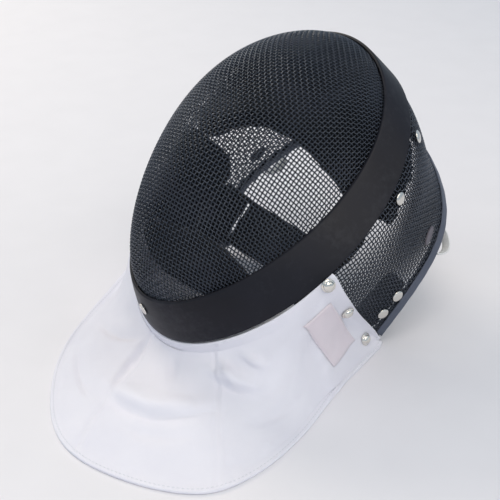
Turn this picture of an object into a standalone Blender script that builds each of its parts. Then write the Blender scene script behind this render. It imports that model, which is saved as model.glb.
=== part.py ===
"""Fencing mask resting on a floor: woven face mesh, trim band, side mesh, bib and padding.

Lengths are in metres. The wearer faces -Y, the wearer's left is +X and +Z is up. The shell is
worked out in its own upright frame, where the band's front rim lies close to the plane y = 0,
and then leans back to stand on the jaw ends of its rear trim and on its bib.
"""
import math

import bmesh
import bpy
import numpy as np
from mathutils import Matrix, Vector

# ---------------------------------------------------------------- driving dimensions
GAP = 0.0004                 # clearance between touching pieces
LEAN = math.radians(52.1)    # how far the upright shell leans back
RIM_CENTRE = 0.150           # height of the rim's centre above the floor
CENTRE_Y = 0.0295            # brings the middle of the whole mask to y = 0

RIM_HEIGHT = 0.2769          # front rim, chin to forehead
RIM_WIDTH = 0.1900           # front rim, temple to temple
RIM_EGG = 0.145              # how much wider the rim is above its middle
RIM_TILT = 0.0008            # forehead set back against the chin
RIM_BOW = -0.0046            # temples set back against forehead and chin
BAND_DEPTH = (0.0271, -0.0066, 0.0062)    # mean, forehead less chin, ends less temples
BAND_FLARE = (0.0165, -0.0065, -0.0080)   # the same three terms, growth to the rear
BAND_THICK = 0.0025
BAND_BULGE = 0.0005
BAND_CHAMFER = 0.0008
WIRE_MESH = 0.0020           # thickness of the woven mesh
MESH_INSET = BAND_THICK + 0.0007          # the mesh lies just inside the band
DOME_DEPTH = 0.0740          # how far the face mesh stands forward of the rim
DOME_APEX = 0.0011           # height of its foremost point above the rim's centre
DOME_POWER = 1.44            # fullness of the dome
MESH_LAP = 0.42              # share of the band that the face mesh reaches under
SIDE_LAP = 0.50              # where the side mesh starts under the band

STATIONS = 60                # sections around the whole rim
SIDE_ANGLE = math.radians(120.0)          # the side mesh ends this far round from the top
SIDE_LEAVE = 0.70            # pull of the side mesh along the band's slope
SIDE_ARRIVE = -0.41          # pull of the side mesh at the trim
TRIM_WIDTH = 0.0080
TRIM_LEG = 0.0012            # thickness of each leg of the folded trim
TRIM_SLOT = 0.0023           # depth of solid trim behind the mesh's edge
TRIM_ROOM = 0.0006           # trim's folded legs to the mesh between them
TRIM_START = 0.018           # share of its run where the trim comes out from under the tab

# rear edge of the shell, wearer's left half:   x,      y,       z
TRIM_POINTS = {
    "jaw":   (0.1009, 0.1507, -0.0444),
    "low":   (0.1144, 0.1314, -0.0006),
    "high":  (0.0940, 0.1300, 0.0786),
    "crown": (0.0000, 0.0963, 0.1280),
}

RIVET_RADIUS = 0.0052
RIVET_HEIGHT = 0.0018
STUD_RADIUS = 0.0056
STUD_HEIGHT = 0.0036
CHIN_RIVET = (math.radians(186.5), 0.48)
# angle from the top, share of the band's depth: they stand on a shank just behind the band
BAND_RIVETS = {"upper": (0.281, 0.125), "lower": (0.187, 0.115)}   # run and reach
BAND_RIVET_TURN = 0.11        # they face the way that the mesh does this much farther back
BAND_RIVET_LIFT = 0.0022
SHANK_SHARE = 0.34           # shank radius against the head's
# run along the side mesh from the jaw, share of its depth
CORNER_RIVETS = {"upper": (0.085, 0.875), "lower": (0.045, 0.868)}

PATCH_THICK = 0.0012
PATCH_RUN = (0.004, 0.112)   # jaw patch: first and last share of the trim's run
PATCH_REACH = (0.62, 0.915)  # jaw patch: first and last share of the side mesh's depth
ANCHOR_RUN = 0.200
ANCHOR_REACH = 0.805
ANCHOR_SIZE = (0.0088, 0.0027, 0.0014)    # half length, half width, height

CLOTH = 0.0022               # bib thickness
CLOTH_ROOM = 0.0009          # bib to the shell beneath it
CLOTH_START = 0.0022         # bib's upper edge to the band's rear edge
CLOTH_LAP = 0.0090           # how far it follows the band's slope at the chin
LEAST_REACH = 0.026          # the same at the tab, as a share of the side mesh's depth
LEAVE_RUN = 0.5              # the tab leaves the mesh half way down to the mesh's edge
CLOTH_LAP_ROWS = 3
CLOTH_ROWS = 9               # rows of the falling cloth, before the flat hem
HEM_FLAT = 0.0090            # width of the hem that lies flat on the floor
HEM_SHARE = 0.25             # the most of the cloth's fall that it takes
SHOULDER = (0.66, 0.012, 0.05)   # its place, how far it stands out, and from what height
FLAT_PLACE = 0.55            # share of the brim where the cloth has nearly reached the floor
FLAT_LIFT = 0.45             # its height there, as a share of the height at the crease

# Bib, a row for each section from the wearer's left tab corner round the chin to the right one.
# angle: degrees from the top of the rim where the section hangs
# reach: share of the side mesh's depth there, nil where it hangs from the band
# leave: share of the side mesh's depth where the cloth leaves the mesh
# hem_x, hem_y: where the hem lies on the floor, in mm
# brim: share of the section that lies nearly flat, lift: its height at the crease, in mm
BIB_COLUMNS = ("angle", "reach", "leave", "hem_x", "hem_y", "brim", "lift")
BIB_ROWS = (
    (119.0, 1.00, 1.00, 106, 61, 0.08, 1),
    (117.6, 0.93, 0.94, 108, 54, 0.08, 1),
    (115.6, 0.80, 0.83, 111, 43, 0.08, 1),
    (112.4, 0.62, 0.67, 115, 28, 0.10, 2),
    (108.6, 0.42, 0.49, 119, 13, 0.12, 3),
    (105.8, 0.22, 0.31, 123, -3, 0.14, 4),
    (104.4, 0.02, 0.15, 128, -17, 0.20, 6),
    (111.0, 0.02, 0.11, 134, -35, 0.20, 6),
    (120.0, 0.02, 0.08, 143, -58, 0.22, 6),
    (133.0, 0.02, 0.08, 155, -102, 0.30, 7),
    (145.0, 0.02, 0.08, 158, -138, 0.38, 8),
    (156.0, 0.02, 0.08, 150, -171, 0.44, 8),
    (167.0, 0.02, 0.08, 121, -197, 0.50, 8),
    (178.0, 0.02, 0.08, 86, -213, 0.54, 7),
    (189.0, 0.02, 0.08, 50, -220, 0.52, 7),
    (200.0, 0.02, 0.08, 12, -212, 0.50, 7),
    (211.0, 0.02, 0.08, -30, -187, 0.46, 7),
    (222.0, 0.02, 0.08, -72, -147, 0.40, 7),
    (233.0, 0.02, 0.08, -110, -88, 0.30, 6),
    (240.0, 0.02, 0.08, -140, -34, 0.22, 6),
    (249.0, 0.02, 0.11, -155, -8, 0.20, 6),
    (255.6, 0.02, 0.15, -157, 8, 0.20, 6),
    (254.2, 0.22, 0.31, -150, 20, 0.14, 4),
    (251.4, 0.42, 0.49, -141, 30, 0.12, 3),
    (247.6, 0.62, 0.67, -130, 40, 0.10, 2),
    (244.4, 0.80, 0.83, -119, 49, 0.08, 1),
    (242.4, 0.93, 0.94, -111, 56, 0.08, 1),
    (241.0, 1.00, 1.00, -106, 61, 0.08, 1),
)
BIB_SPACING = 2              # mesh columns for each gap between two rows

# Folds of the bib. start and end: row and share from top to hem, height and half width in mm
FOLD_COLUMNS = ("row_from", "down_from", "row_to", "down_to", "height", "width")
FOLD_GRID = (12, 14)         # a fold's shares against its rows, and mm for one row
FOLD_ENDS = 0.12             # how steeply a fold starts and stops
BIB_FOLDS = (
    (10.9, 0.34, 9.4, 0.50, 5.0, 9.0),
    (10.6, 0.22, 10.9, 0.36, 3.0, 8.0),
    (9.0, 0.58, 8.3, 0.50, -4.0, 9.0),
    (14.1, 0.63, 11.2, 0.60, -3.0, 9.0),
    (16.5, 0.64, 14.3, 0.40, -3.0, 8.0),
)

# blank label on the left tab: row and share from top to hem of its corners, in order round it
LABEL_CORNERS = ((7.54, 0.38), (5.27, 0.21), (3.13, 0.585), (5.24, 0.775))
LABEL_THICK = 0.0006
LABEL_LIFT = 0.0015          # cloth's face to the label, which bridges its facets
# press studs down each tab: row, share from top to hem
TAB_STUDS = ((6.02, 0.095), (4.06, 0.17), (2.47, 0.57))
STUD_LIFT = 0.0020           # cloth to the head, which stands on its shank

# forehead pad: half sweep, lower edge and depth in the upright shell
FOREHEAD_SWEEP = math.radians(82.5)
FOREHEAD_HALF = 0.080
FOREHEAD_FRONT = (-0.0120, 0.0400, 0.0190, -0.0160)  # y, z at the middle and what they gain
FOREHEAD_REAR = (0.0020, 0.0310, 0.0280, -0.0145)
FOREHEAD_TILT = -0.018       # sewn in a little lower on the wearer's left
FOREHEAD_LAP = (0.12, 0.72)  # where it lies under the band, as shares of the band's depth
FOREHEAD_TEMPLE = {1: 0.32, -1: 0.14}    # at the left and right temple it runs this far back
FOREHEAD_EASE = (0.30, 0.75)             # under the side mesh, eased in between these shares
FOREHEAD_MIDDLE_LAP = (0.45, 0.85)       # its outer face's middle, at the forehead and temples
FOREHEAD_SINK = (0.0010, 0.0015, 0.0020)     # lower than its front at the middle, rear, temples
FOREHEAD_SWELL = 0.0030
PAD_INSET = MESH_INSET + WIRE_MESH + 0.0005

CHEEK_TOP = math.radians(84.0)
CHEEK_BOTTOM = math.radians(119.0)
CHEEK_INNER = 0.0700
CHEEK_REAR = 0.0660
CHEEK_THICK = 0.0150
CHEEK_BEVEL = 0.0020         # swell of the face that looks forward and in
CHEEK_LAP = (0.10, 0.60, 1.0)    # where it lies under the band, as shares of the band's depth
CHIN_HALF = math.radians(48.0)
CHIN_TOP = -0.0670
CHIN_BOTTOM = -0.1110
CHIN_DEPTH = (0.0040, 0.0290)
CHIN_SAG = 0.0120            # how much lower its ends are

# neck strap: fixed inside the right jaw, it stands across the rear opening to its free end
STRAP_THICK = 0.0024
STRAP_LOW = (0.0489, 0.0218)     # y, z of its lower edge at the right jaw
STRAP_HIGH = (0.0729, 0.0622)    # y, z of its upper edge there
STRAP_DROOP = 0.065              # how much it hangs lower for each unit towards its free end
STRAP_ANCHOR_RUNS = (0.020, 0.118)
STRAP_ANCHOR_REACHES = (0.74, 0.80, 0.86)
STRAP_SLOT = ((-0.0955, -0.0850), (-0.0910, -0.0800))   # x of each side of the slot, low and high
STRAP_BODY = (-0.075, -0.050, -0.025, 0.0, 0.020, 0.035)
STRAP_BAR = (0.08, 0.91)         # share of its height at the slot's ends
LOOP_RUN = (0.190, 0.238)    # elastic loop: where its two ends meet the trim
LOOP_BULGE = 0.0110
LOOP_SIZE = (0.0080, 0.0014)

COLOURS = {                  # base colour, roughness, metallic
    "wire":    ((0.020, 0.022, 0.028), 0.45, 0.6),
    "band":    ((0.018, 0.019, 0.025), 0.50, 0.0),
    "trim":    ((0.060, 0.068, 0.085), 0.55, 0.0),
    "rivet":   ((0.78, 0.78, 0.76), 0.25, 1.0),
    "cloth":   ((0.86, 0.87, 0.90), 0.85, 0.0),
    "label":   ((0.72, 0.66, 0.70), 0.70, 0.0),
    "padding": ((0.030, 0.031, 0.036), 0.90, 0.0),
    "webbing": ((0.025, 0.026, 0.030), 0.85, 0.0),
    "elastic": ((0.66, 0.67, 0.64), 0.85, 0.0),
    "plastic": ((0.16, 0.16, 0.19), 0.45, 0.0),
}


# ---------------------------------------------------------------- curves and surfaces
def unit(vectors):
    length = np.linalg.norm(vectors, axis=-1, keepdims=True)
    return vectors / length


def harmonic(terms, angle):
    """Mean, once-round and twice-round terms of a quantity that varies round the rim."""
    return terms[0] + terms[1] * np.cos(angle) + terms[2] * np.cos(2 * angle)


def smooth_curve(points, samples, by_length=True):
    """Natural cubic spline through the points, read at the sample shares 0 to 1."""
    points = np.asarray(points, float)
    count = len(points)
    steps = np.linalg.norm(np.diff(points, axis=0), axis=1) if by_length else np.ones(count - 1)
    knots = np.concatenate([[0.0], np.cumsum(steps)])
    knots = knots / knots[-1]
    gaps = np.diff(knots)
    matrix = np.eye(count)
    bends = np.zeros_like(points)
    for i in range(1, count - 1):
        matrix[i, i - 1:i + 2] = gaps[i - 1], 2 * (gaps[i - 1] + gaps[i]), gaps[i]
        rise = (points[i + 1] - points[i]) / gaps[i]
        bends[i] = 6 * (rise - (points[i] - points[i - 1]) / gaps[i - 1])
    bends = np.linalg.solve(matrix, bends)
    samples = np.asarray(samples, float)
    span = np.clip(np.searchsorted(knots, samples, side="right") - 1, 0, count - 2)
    width = gaps[span][:, None]
    before = (knots[span + 1] - samples)[:, None] / width
    after = (samples - knots[span])[:, None] / width
    curve = before * points[span] + after * points[span + 1]
    bow = (before ** 3 - before) * bends[span] + (after ** 3 - after) * bends[span + 1]
    return curve + bow * width ** 2 / 6


def rim_point(angle, across, inset=0.0):
    """Band surface: angle from the top towards the wearer's left, across 0 front to 1 rear."""
    angle = np.asarray(angle, float)
    c, s = np.cos(angle), np.sin(angle)
    x = RIM_WIDTH / 2 * s * (1 + RIM_EGG * c)
    z = RIM_HEIGHT / 2 * c
    run_x = RIM_WIDTH / 2 * (c * (1 + RIM_EGG * c) - RIM_EGG * s * s)
    run_z = -RIM_HEIGHT / 2 * s
    length = np.hypot(run_x, run_z)
    y = harmonic((0.0, RIM_TILT, RIM_BOW), angle) + across * harmonic(BAND_DEPTH, angle)
    out = across * harmonic(BAND_FLARE, angle) - inset
    return np.stack([x - run_z / length * out, y, z + run_x / length * out], -1)


def dome_point(angle, radius, inset=MESH_INSET, sunk=0.0):
    """Face mesh: radius 0 at its foremost point to 1 at the rim."""
    rim = rim_point(angle, 0.0, inset)
    spread = math.sin(radius * math.pi / 2)
    depth = math.cos(radius * math.pi / 2) ** DOME_POWER
    x = rim[..., 0] * spread
    y = rim[..., 1] * (1 - depth) - (DOME_DEPTH - sunk) * depth
    z = DOME_APEX + (rim[..., 2] - DOME_APEX) * spread
    return np.stack([x, y, z], -1)


def trim_curve(runs):
    """Rear edge of the shell: run 0 at the left jaw, 0.5 at the crown, 1 at the right jaw."""
    left = [TRIM_POINTS[name] for name in ("jaw", "low", "high")]
    right = [(-x, y, z) for x, y, z in reversed(left)]
    return smooth_curve(left + [TRIM_POINTS["crown"]] + right, runs)


def side_point(runs, reach, lift=0.0):
    """Side mesh's outer face, lifted off it: reach 0 at the band's rear edge, 1 at the trim."""
    def lay(run, share):
        angle = SIDE_ANGLE * (1 - 2 * run)
        start = rim_point(angle, 1.0, MESH_INSET)
        slope = unit(start - rim_point(angle, 0.9, MESH_INSET))
        end = trim_curve(run)
        chord = end - start
        length = np.linalg.norm(chord, axis=-1, keepdims=True)
        leave = slope * length * SIDE_LEAVE
        arrive = (2 * chord - slope * length) * SIDE_ARRIVE + (1 - SIDE_ARRIVE) * chord
        v = share[:, None]
        return ((2 * v ** 3 - 3 * v ** 2 + 1) * start + (v ** 3 - 2 * v ** 2 + v) * leave
                + (3 * v ** 2 - 2 * v ** 3) * end + (v ** 3 - v ** 2) * arrive)
    runs = np.atleast_1d(np.asarray(runs, float))
    share = np.broadcast_to(np.asarray(reach, float), runs.shape)
    point = lay(runs, share)
    step = 0.004
    along = lay(np.clip(runs + step, 0, 1), share) - lay(np.clip(runs - step, 0, 1), share)
    back = lay(runs, share + step) - lay(runs, share - step)
    return point + unit(np.cross(back, along)) * np.asarray(lift)[..., None]


def side_frame(run, reach):
    """Point, outward normal and rearward direction on the side mesh's outer face."""
    point = side_point(run, reach)[0]
    normal = unit(side_point(run, reach, 0.001)[0] - point)
    back = unit(side_point(run, reach + 0.004)[0] - side_point(run, reach - 0.004)[0])
    return point, normal, back


def lean(points):
    """From the upright shell's frame to the mask as it rests, before it is centred."""
    points = np.asarray(points, float)
    c, s = math.cos(LEAN), math.sin(LEAN)
    y = points[..., 1] * c + points[..., 2] * s
    z = points[..., 2] * c - points[..., 1] * s + RIM_CENTRE
    return np.stack([points[..., 0], y, z], -1)


# ---------------------------------------------------------------- mesh builders
def material(kind):
    found = bpy.data.materials.get(kind)
    if found:
        return found
    colour, roughness, metallic = COLOURS[kind]
    made = bpy.data.materials.new(kind)
    made.use_nodes = True
    shader = made.node_tree.nodes["Principled BSDF"]
    shader.inputs["Base Color"].default_value = (*colour, 1.0)
    shader.inputs["Roughness"].default_value = roughness
    shader.inputs["Metallic"].default_value = metallic
    return made


def add_object(name, body, kind, parent):
    """Finish a bmesh as a named object under its parent."""
    bmesh.ops.remove_doubles(body, verts=body.verts, dist=1e-6)
    bmesh.ops.recalc_face_normals(body, faces=body.faces)
    data = bpy.data.meshes.new(name)
    body.to_mesh(data)
    body.free()
    data.shade_smooth()
    data.set_sharp_from_angle(angle=math.radians(40))
    data.materials.append(material(kind))
    made = bpy.data.objects.new(name, data)
    made.parent = parent
    bpy.context.collection.objects.link(made)
    return made


def split_quad(body, a, b, c, d):
    """Two triangles that share the diagonal a-c, so that facing pieces bend alike."""
    body.faces.new((a, b, c))
    body.faces.new((a, c, d))


def quilt(body, grid, wrap):
    """Vertices and triangles of a grid of points. Returns its vertex rows."""
    rows = [[body.verts.new(point) for point in row] for row in grid]
    columns = len(rows[0])
    last = columns if wrap else columns - 1
    for upper, lower in zip(rows, rows[1:]):
        for i in range(last):
            j = (i + 1) % columns
            split_quad(body, upper[j], lower[j], lower[i], upper[i])
    return rows


def edge_ring(rows, wrap):
    """Border vertices of a grid, in order round it."""
    if wrap:
        return rows[-1]
    right = [row[-1] for row in rows[1:-1]]
    left = [row[0] for row in reversed(rows[1:-1])]
    return rows[0] + right + rows[-1][::-1] + left


def wall(name, outer, inner, kind, parent, wrap=False, pole=False):
    """A sheet with two faces. pole closes the first row of a wrapped grid to a point."""
    body = bmesh.new()
    faces = [quilt(body, outer, wrap), quilt(body, inner, wrap)]
    rings = [edge_ring(rows, wrap) for rows in faces]
    count = len(rings[0])
    for i in range(count):
        j = (i + 1) % count
        body.faces.new((rings[0][i], rings[0][j], rings[1][j], rings[1][i]))
    if pole:
        for rows in faces:
            tip = body.verts.new(sum((v.co for v in rows[0]), Vector()) / len(rows[0]))
            for i, vertex in enumerate(rows[0]):
                body.faces.new((tip, vertex, rows[0][(i + 1) % len(rows[0])]))
    return add_object(name, body, kind, parent)


def swept(name, sections, kind, parent, closed=False):
    """A solid bar through a row of like sections."""
    body = bmesh.new()
    rings = [[body.verts.new(point) for point in section] for section in sections]
    count = len(rings[0])
    pairs = list(zip(rings, rings[1:]))
    if closed:
        pairs.append((rings[-1], rings[0]))
    for first, second in pairs:
        for i in range(count):
            j = (i + 1) % count
            split_quad(body, first[i], first[j], second[j], second[i])
    if not closed:
        body.faces.new(rings[0][::-1])
        body.faces.new(rings[-1])
    return add_object(name, body, kind, parent)


def domed_disc(name, centre, normal, along, radii, rows, kind, parent, sides=10):
    """A rivet head: rows give height and share of the radius, from its flat seat up."""
    body = bmesh.new()
    normal = Vector(normal).normalized()
    first = (Vector(along) - normal * normal.dot(Vector(along))).normalized()
    second = normal.cross(first)
    rings = []
    for height, share in rows:
        ring = []
        for i in range(sides):
            turn = 2 * math.pi * i / sides
            offset = first * radii[0] * math.cos(turn) + second * radii[1] * math.sin(turn)
            ring.append(body.verts.new(Vector(centre) + normal * height + offset * share))
        rings.append(ring)
    for lower, upper in zip(rings, rings[1:]):
        for i in range(sides):
            j = (i + 1) % sides
            body.faces.new((lower[i], lower[j], upper[j], upper[i]))
    body.faces.new(rings[0][::-1])
    body.faces.new(rings[-1])
    return add_object(name, body, kind, parent)


def rivet_rows(height):
    return (0.0, 1.0), (height * 0.3, 1.0), (height * 0.75, 0.78), (height, 0.35)


def stud_rows(height):
    shank = (GAP * 1.5 - STUD_LIFT, SHANK_SHARE), (0.0, SHANK_SHARE)
    return shank + ((0.0, 1.0), (height * 0.2, 1.0), (height * 0.3, 0.8), (height * 0.75, 0.62),
                    (height, 0.25))


# ---------------------------------------------------------------- shell pieces
def rim_angles():
    return np.arange(STATIONS) * 2 * math.pi / STATIONS


def front_mesh(shell):
    angles = rim_angles()
    radii = (0.15, 0.30, 0.44, 0.58, 0.71, 0.82, 0.91, 0.975)
    laps = (0.0, MESH_LAP)
    thick = WIRE_MESH
    outer = [dome_point(angles, r) for r in radii]
    outer += [rim_point(angles, lap, MESH_INSET) for lap in laps]
    inner = [dome_point(angles, r, MESH_INSET + thick, thick) for r in radii]
    inner += [rim_point(angles, lap, MESH_INSET + thick) for lap in laps]
    wall("front_mesh", outer, inner, "wire", shell, wrap=True, pole=True)


def rim_band(shell):
    chamfer = BAND_CHAMFER
    section = (                  # share of the depth, inset from the outer face
        (0.0, chamfer), (0.03, 0.0), (0.5, -BAND_BULGE), (0.97, 0.0),
        (1.0, chamfer), (1.0, BAND_THICK), (SIDE_LAP, BAND_THICK), (MESH_LAP, BAND_THICK),
        (0.0, BAND_THICK),
    )
    rings = [[rim_point(angle, across, inset) for across, inset in section]
             for angle in rim_angles()]
    swept("rim_band", rings, "band", shell, closed=True)


def side_runs():
    """Shares of the trim's run that fall on the band's own stations."""
    steps = round(SIDE_ANGLE * 2 / (2 * math.pi / STATIONS))
    return np.linspace(0.0, 1.0, steps + 1)


def side_mesh(shell):
    runs = side_runs()
    angles = SIDE_ANGLE * (1 - 2 * runs)
    length = np.linalg.norm(side_point(runs, 1.0) - side_point(runs, 0.0), axis=-1)
    last = 1 - (TRIM_SLOT + GAP) / length
    shares = (0.0, 0.14, 0.29, 0.44, 0.59, 0.73, 0.87, 1.0)
    sheets = []
    for lift in (0.0, -WIRE_MESH):
        lap = rim_point(angles, SIDE_LAP, MESH_INSET - lift)
        sheets.append([lap] + [side_point(runs, last * share, lift) for share in shares])
    wall("side_mesh", sheets[0], sheets[1], "wire", shell)


def rear_trim(shell):
    leg = TRIM_ROOM + TRIM_LEG
    inner = -WIRE_MESH - TRIM_ROOM
    section = (                  # distance ahead of the edge, height over the mesh's face
        (TRIM_WIDTH, TRIM_ROOM), (TRIM_WIDTH - 0.0005, leg), (0.0008, leg), (0.0, leg - 0.0009),
        (0.0, inner - TRIM_LEG + 0.0009), (0.0008, inner - TRIM_LEG),
        (TRIM_WIDTH, inner - TRIM_LEG), (TRIM_WIDTH, inner), (TRIM_SLOT, inner),
        (TRIM_SLOT, TRIM_ROOM),
    )
    rings = []
    for run in np.clip(side_runs(), TRIM_START, 1 - TRIM_START):
        length = np.linalg.norm(side_point(run, 1.0)[0] - side_point(run, 0.0)[0])
        rings.append([side_point(run, 1.0 - ahead / length, lift)[0] for ahead, lift in section])
    swept("rear_trim", rings, "trim", shell)


def jaw_patches(shell):
    sides = 16
    turns = np.arange(sides) * 2 * math.pi / sides
    square = 0.45                # rounds the patch's corners
    across = np.sign(np.cos(turns)) * np.abs(np.cos(turns)) ** square
    down = np.sign(np.sin(turns)) * np.abs(np.sin(turns)) ** square
    middle = sum(PATCH_RUN) / 2, sum(PATCH_REACH) / 2
    half = (PATCH_RUN[1] - PATCH_RUN[0]) / 2, (PATCH_REACH[1] - PATCH_REACH[0]) / 2
    for side, flip in (("left", 1), ("right", -1)):
        sheets = []
        for lift in (-WIRE_MESH - GAP, -WIRE_MESH - GAP - PATCH_THICK):
            rows = []
            for share in (0.5, 1.0):
                run = middle[0] + half[0] * down * share
                reach = middle[1] + half[1] * across * share
                rows.append(side_point(run, reach, lift) * (flip, 1, 1))
            sheets.append(rows)
        wall("jaw_patch_" + side, sheets[0], sheets[1], "webbing", shell, wrap=True, pole=True)


def rivets(shell):
    size = (RIVET_RADIUS, RIVET_RADIUS)
    angle, across = CHIN_RIVET
    centre = rim_point(angle, across)
    ahead = rim_point(angle + 0.01, across) - centre
    back = rim_point(angle, across + 0.01) - centre
    normal = unit(np.cross(ahead, back))
    seat = centre + normal * (BAND_BULGE + GAP)
    domed_disc("chin_rivet", seat, normal, back, size, rivet_rows(RIVET_HEIGHT), "rivet", shell)
    shank = (GAP * 1.5 - BAND_RIVET_LIFT, SHANK_SHARE), (0.0, SHANK_SHARE)
    for side, flip in (("left", 1), ("right", -1)):
        for height, (run, reach) in BAND_RIVETS.items():
            centre, normal, back = side_frame(run, reach)
            facing = side_frame(run, reach + BAND_RIVET_TURN)[1]
            seat = centre + normal * BAND_RIVET_LIFT
            seat, facing, back = (v * (flip, 1, 1) for v in (seat, facing, back))
            name = "band_rivet_%s_%s" % (side, height)
            rows = shank + rivet_rows(RIVET_HEIGHT)
            domed_disc(name, seat, facing, back, size, rows, "rivet", shell)
        for height, (run, reach) in CORNER_RIVETS.items():
            centre, normal, back = (v * (flip, 1, 1) for v in side_frame(run, reach))
            seat = centre + normal * GAP * 2
            name = "corner_rivet_%s_%s" % (side, height)
            domed_disc(name, seat, normal, back, size, rivet_rows(RIVET_HEIGHT), "rivet", shell)


def strap_anchors(shell):
    """Oval plates on the side mesh and the elastic loops behind the trim beside them."""
    half_length, half_width, height = ANCHOR_SIZE
    for side, flip in (("left", 1), ("right", -1)):
        centre, normal, back = side_frame(ANCHOR_RUN, ANCHOR_REACH)
        along = np.cross(normal, back)
        seat = centre + normal * GAP * 1.5
        seat, normal, along = (v * (flip, 1, 1) for v in (seat, normal, along))
        domed_disc("oval_anchor_" + side, seat, normal, along, (half_length, half_width),
                   rivet_rows(height), "plastic", shell, sides=14)
        rings = []
        width, thick = LOOP_SIZE
        for share in np.linspace(0.0, 1.0, 9):
            run = LOOP_RUN[0] + (LOOP_RUN[1] - LOOP_RUN[0]) * share
            edge, normal, back = side_frame(run, 1.0)
            ahead = unit(side_point(run + 0.004, 1.0)[0] - edge)
            middle = edge - normal * WIRE_MESH / 2
            rise = LOOP_BULGE * math.sin(share * math.pi) ** 0.7 + GAP + thick / 2
            slope = math.cos(share * math.pi) * math.pi / 2
            face = unit(back - ahead * slope * 0.5)
            ring = []
            for w, t in ((0.2, -0.5), (0.2, 0.5), (-0.8, 0.5), (-0.8, -0.5)):
                shift = face if 0 < share < 1 else back
                point = middle + back * rise + normal * width * w + shift * thick * t
                ring.append(point * (flip, 1, 1))
            rings.append(ring)
        swept("elastic_loop_" + side, rings, "elastic", shell)


# ---------------------------------------------------------------- padding
def forehead_pad(shell):
    rings = []
    for share in np.linspace(-1.0, 1.0, 21):
        angle = FOREHEAD_SWEEP * share
        x = FOREHEAD_HALF * math.sin(share * math.pi / 2)
        edges = []
        for y, z, gain_y, gain_z in (FOREHEAD_FRONT, FOREHEAD_REAR):
            grown = (x / FOREHEAD_HALF) ** 2
            edges.append(np.array((x, y + gain_y * grown, z + gain_z * grown + x * FOREHEAD_TILT)))
        front = rim_point(angle, FOREHEAD_LAP[0], PAD_INSET)
        first, full = FOREHEAD_EASE
        temple = min(max((abs(share) - first) / (full - first), 0.0), 1.0)
        temple = temple * temple * (3 - 2 * temple)
        near, far = FOREHEAD_MIDDLE_LAP
        middle = rim_point(angle, near + (far - near) * temple, PAD_INSET + FOREHEAD_SINK[0])
        run = (1 - abs(angle) / SIDE_ANGLE) / 2
        flip = 1 if share >= 0 else -1
        under = side_point(run, FOREHEAD_TEMPLE[flip], -WIRE_MESH - FOREHEAD_SINK[2])[0]
        under = under * (flip, 1, 1)
        rear = rim_point(angle, FOREHEAD_LAP[1], PAD_INSET + FOREHEAD_SINK[1])
        rear = rear * (1 - temple) + under * temple
        swell = np.array((0.0, FOREHEAD_SWELL, 0.0))
        ring = [
            front, middle, rear,
            rear * 0.7 + edges[1] * 0.3 + swell, rear * 0.3 + edges[1] * 0.7 + swell,
            edges[1] + swell / 2, edges[0],
            edges[0] * 0.7 + front * 0.3, edges[0] * 0.3 + front * 0.7,
        ]
        rings.append(ring)
    swept("forehead_pad", rings, "padding", shell)


def cheek_pads(shell):
    for side, flip in (("left", 1), ("right", -1)):
        rings = []
        for share in np.linspace(0.0, 1.0, 9):
            angle = CHEEK_TOP + (CHEEK_BOTTOM - CHEEK_TOP) * share
            front, under = (rim_point(angle, lap, PAD_INSET) for lap in CHEEK_LAP[:2])
            rear = rim_point(angle, CHEEK_LAP[2], PAD_INSET + 0.006)
            level = under[2]
            rounded = math.sin(min(1.0, share * 4 + 0.35) * math.pi / 2)
            reach = CHEEK_REAR * (0.45 + 0.55 * rounded)
            inner = min(CHEEK_INNER, front[0] - CHEEK_THICK)
            ring = [
                front, under, rear,
                np.array((rear[0] - 0.007, rear[1] + (reach - rear[1]) * 0.75, level)),
                np.array((inner + 0.010, reach, level)),
                np.array((inner + 0.003, reach - 0.001, level)),
                np.array((inner, reach - 0.008, level)),
            ]
            ring.append((ring[0] + ring[-1]) / 2 + (CHEEK_BEVEL, 0.0, 0.0))
            rings.append([point * (flip, 1, 1) for point in ring])
        swept("cheek_pad_" + side, rings, "padding", shell)


def chin_pad(shell):
    rings = []
    for share in np.linspace(-1.0, 1.0, 15):
        angle = math.pi + CHIN_HALF * share
        outer = rim_point(angle, 0.3, PAD_INSET)
        x = outer[0]
        top = CHIN_TOP - (1 - math.cos(share * math.pi / 2)) * CHIN_SAG
        bottom = CHIN_BOTTOM * (1 - abs(share) ** 3) + (top - CHIN_SAG) * abs(share) ** 3
        bottom = max(bottom, outer[2])
        front, rear = CHIN_DEPTH
        middle = (top + bottom) / 2
        ring = [np.array((x, y, z)) for y, z in (
            (front + 0.003, top), (front, middle), (front + 0.003, bottom),
            (rear - 0.004, bottom), (rear + 0.002, middle), (rear - 0.004, top))]
        rings.append(ring)
    swept("chin_pad", rings, "padding", shell)


def neck_strap(mask):
    """Stiff webbing fixed inside the right jaw, with a slot beside its anchor."""
    under = -WIRE_MESH - GAP - PATCH_THICK - GAP - STRAP_THICK / 2
    edges = [[lean(side_point(run, reach, under)[0] * (-1, 1, 1)) for run in STRAP_ANCHOR_RUNS]
             for reach in STRAP_ANCHOR_REACHES]
    for x_low, x_high in STRAP_SLOT + tuple((x, x) for x in STRAP_BODY):
        droop = STRAP_DROOP * (x_high - STRAP_SLOT[0][1])
        edges.append([np.array((x_low, STRAP_LOW[0], STRAP_LOW[1] - droop)),
                      np.array((x_high, STRAP_HIGH[0], STRAP_HIGH[1] - droop))])
    slot_at = len(STRAP_ANCHOR_REACHES)
    levels = (0.0, *STRAP_BAR, 1.0)
    body = bmesh.new()
    rows = [[body.verts.new(low + (high - low) * level) for level in levels]
            for low, high in edges]
    for number, (first, second) in enumerate(zip(rows, rows[1:])):
        for i in range(len(levels) - 1):
            if number == slot_at and i == 1:
                continue
            body.faces.new((first[i], first[i + 1], second[i + 1], second[i]))
    made = add_object("neck_strap", body, "webbing", mask)
    thicken = made.modifiers.new("webbing thickness", "SOLIDIFY")
    thicken.thickness = STRAP_THICK
    thicken.offset = 0.0


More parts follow.
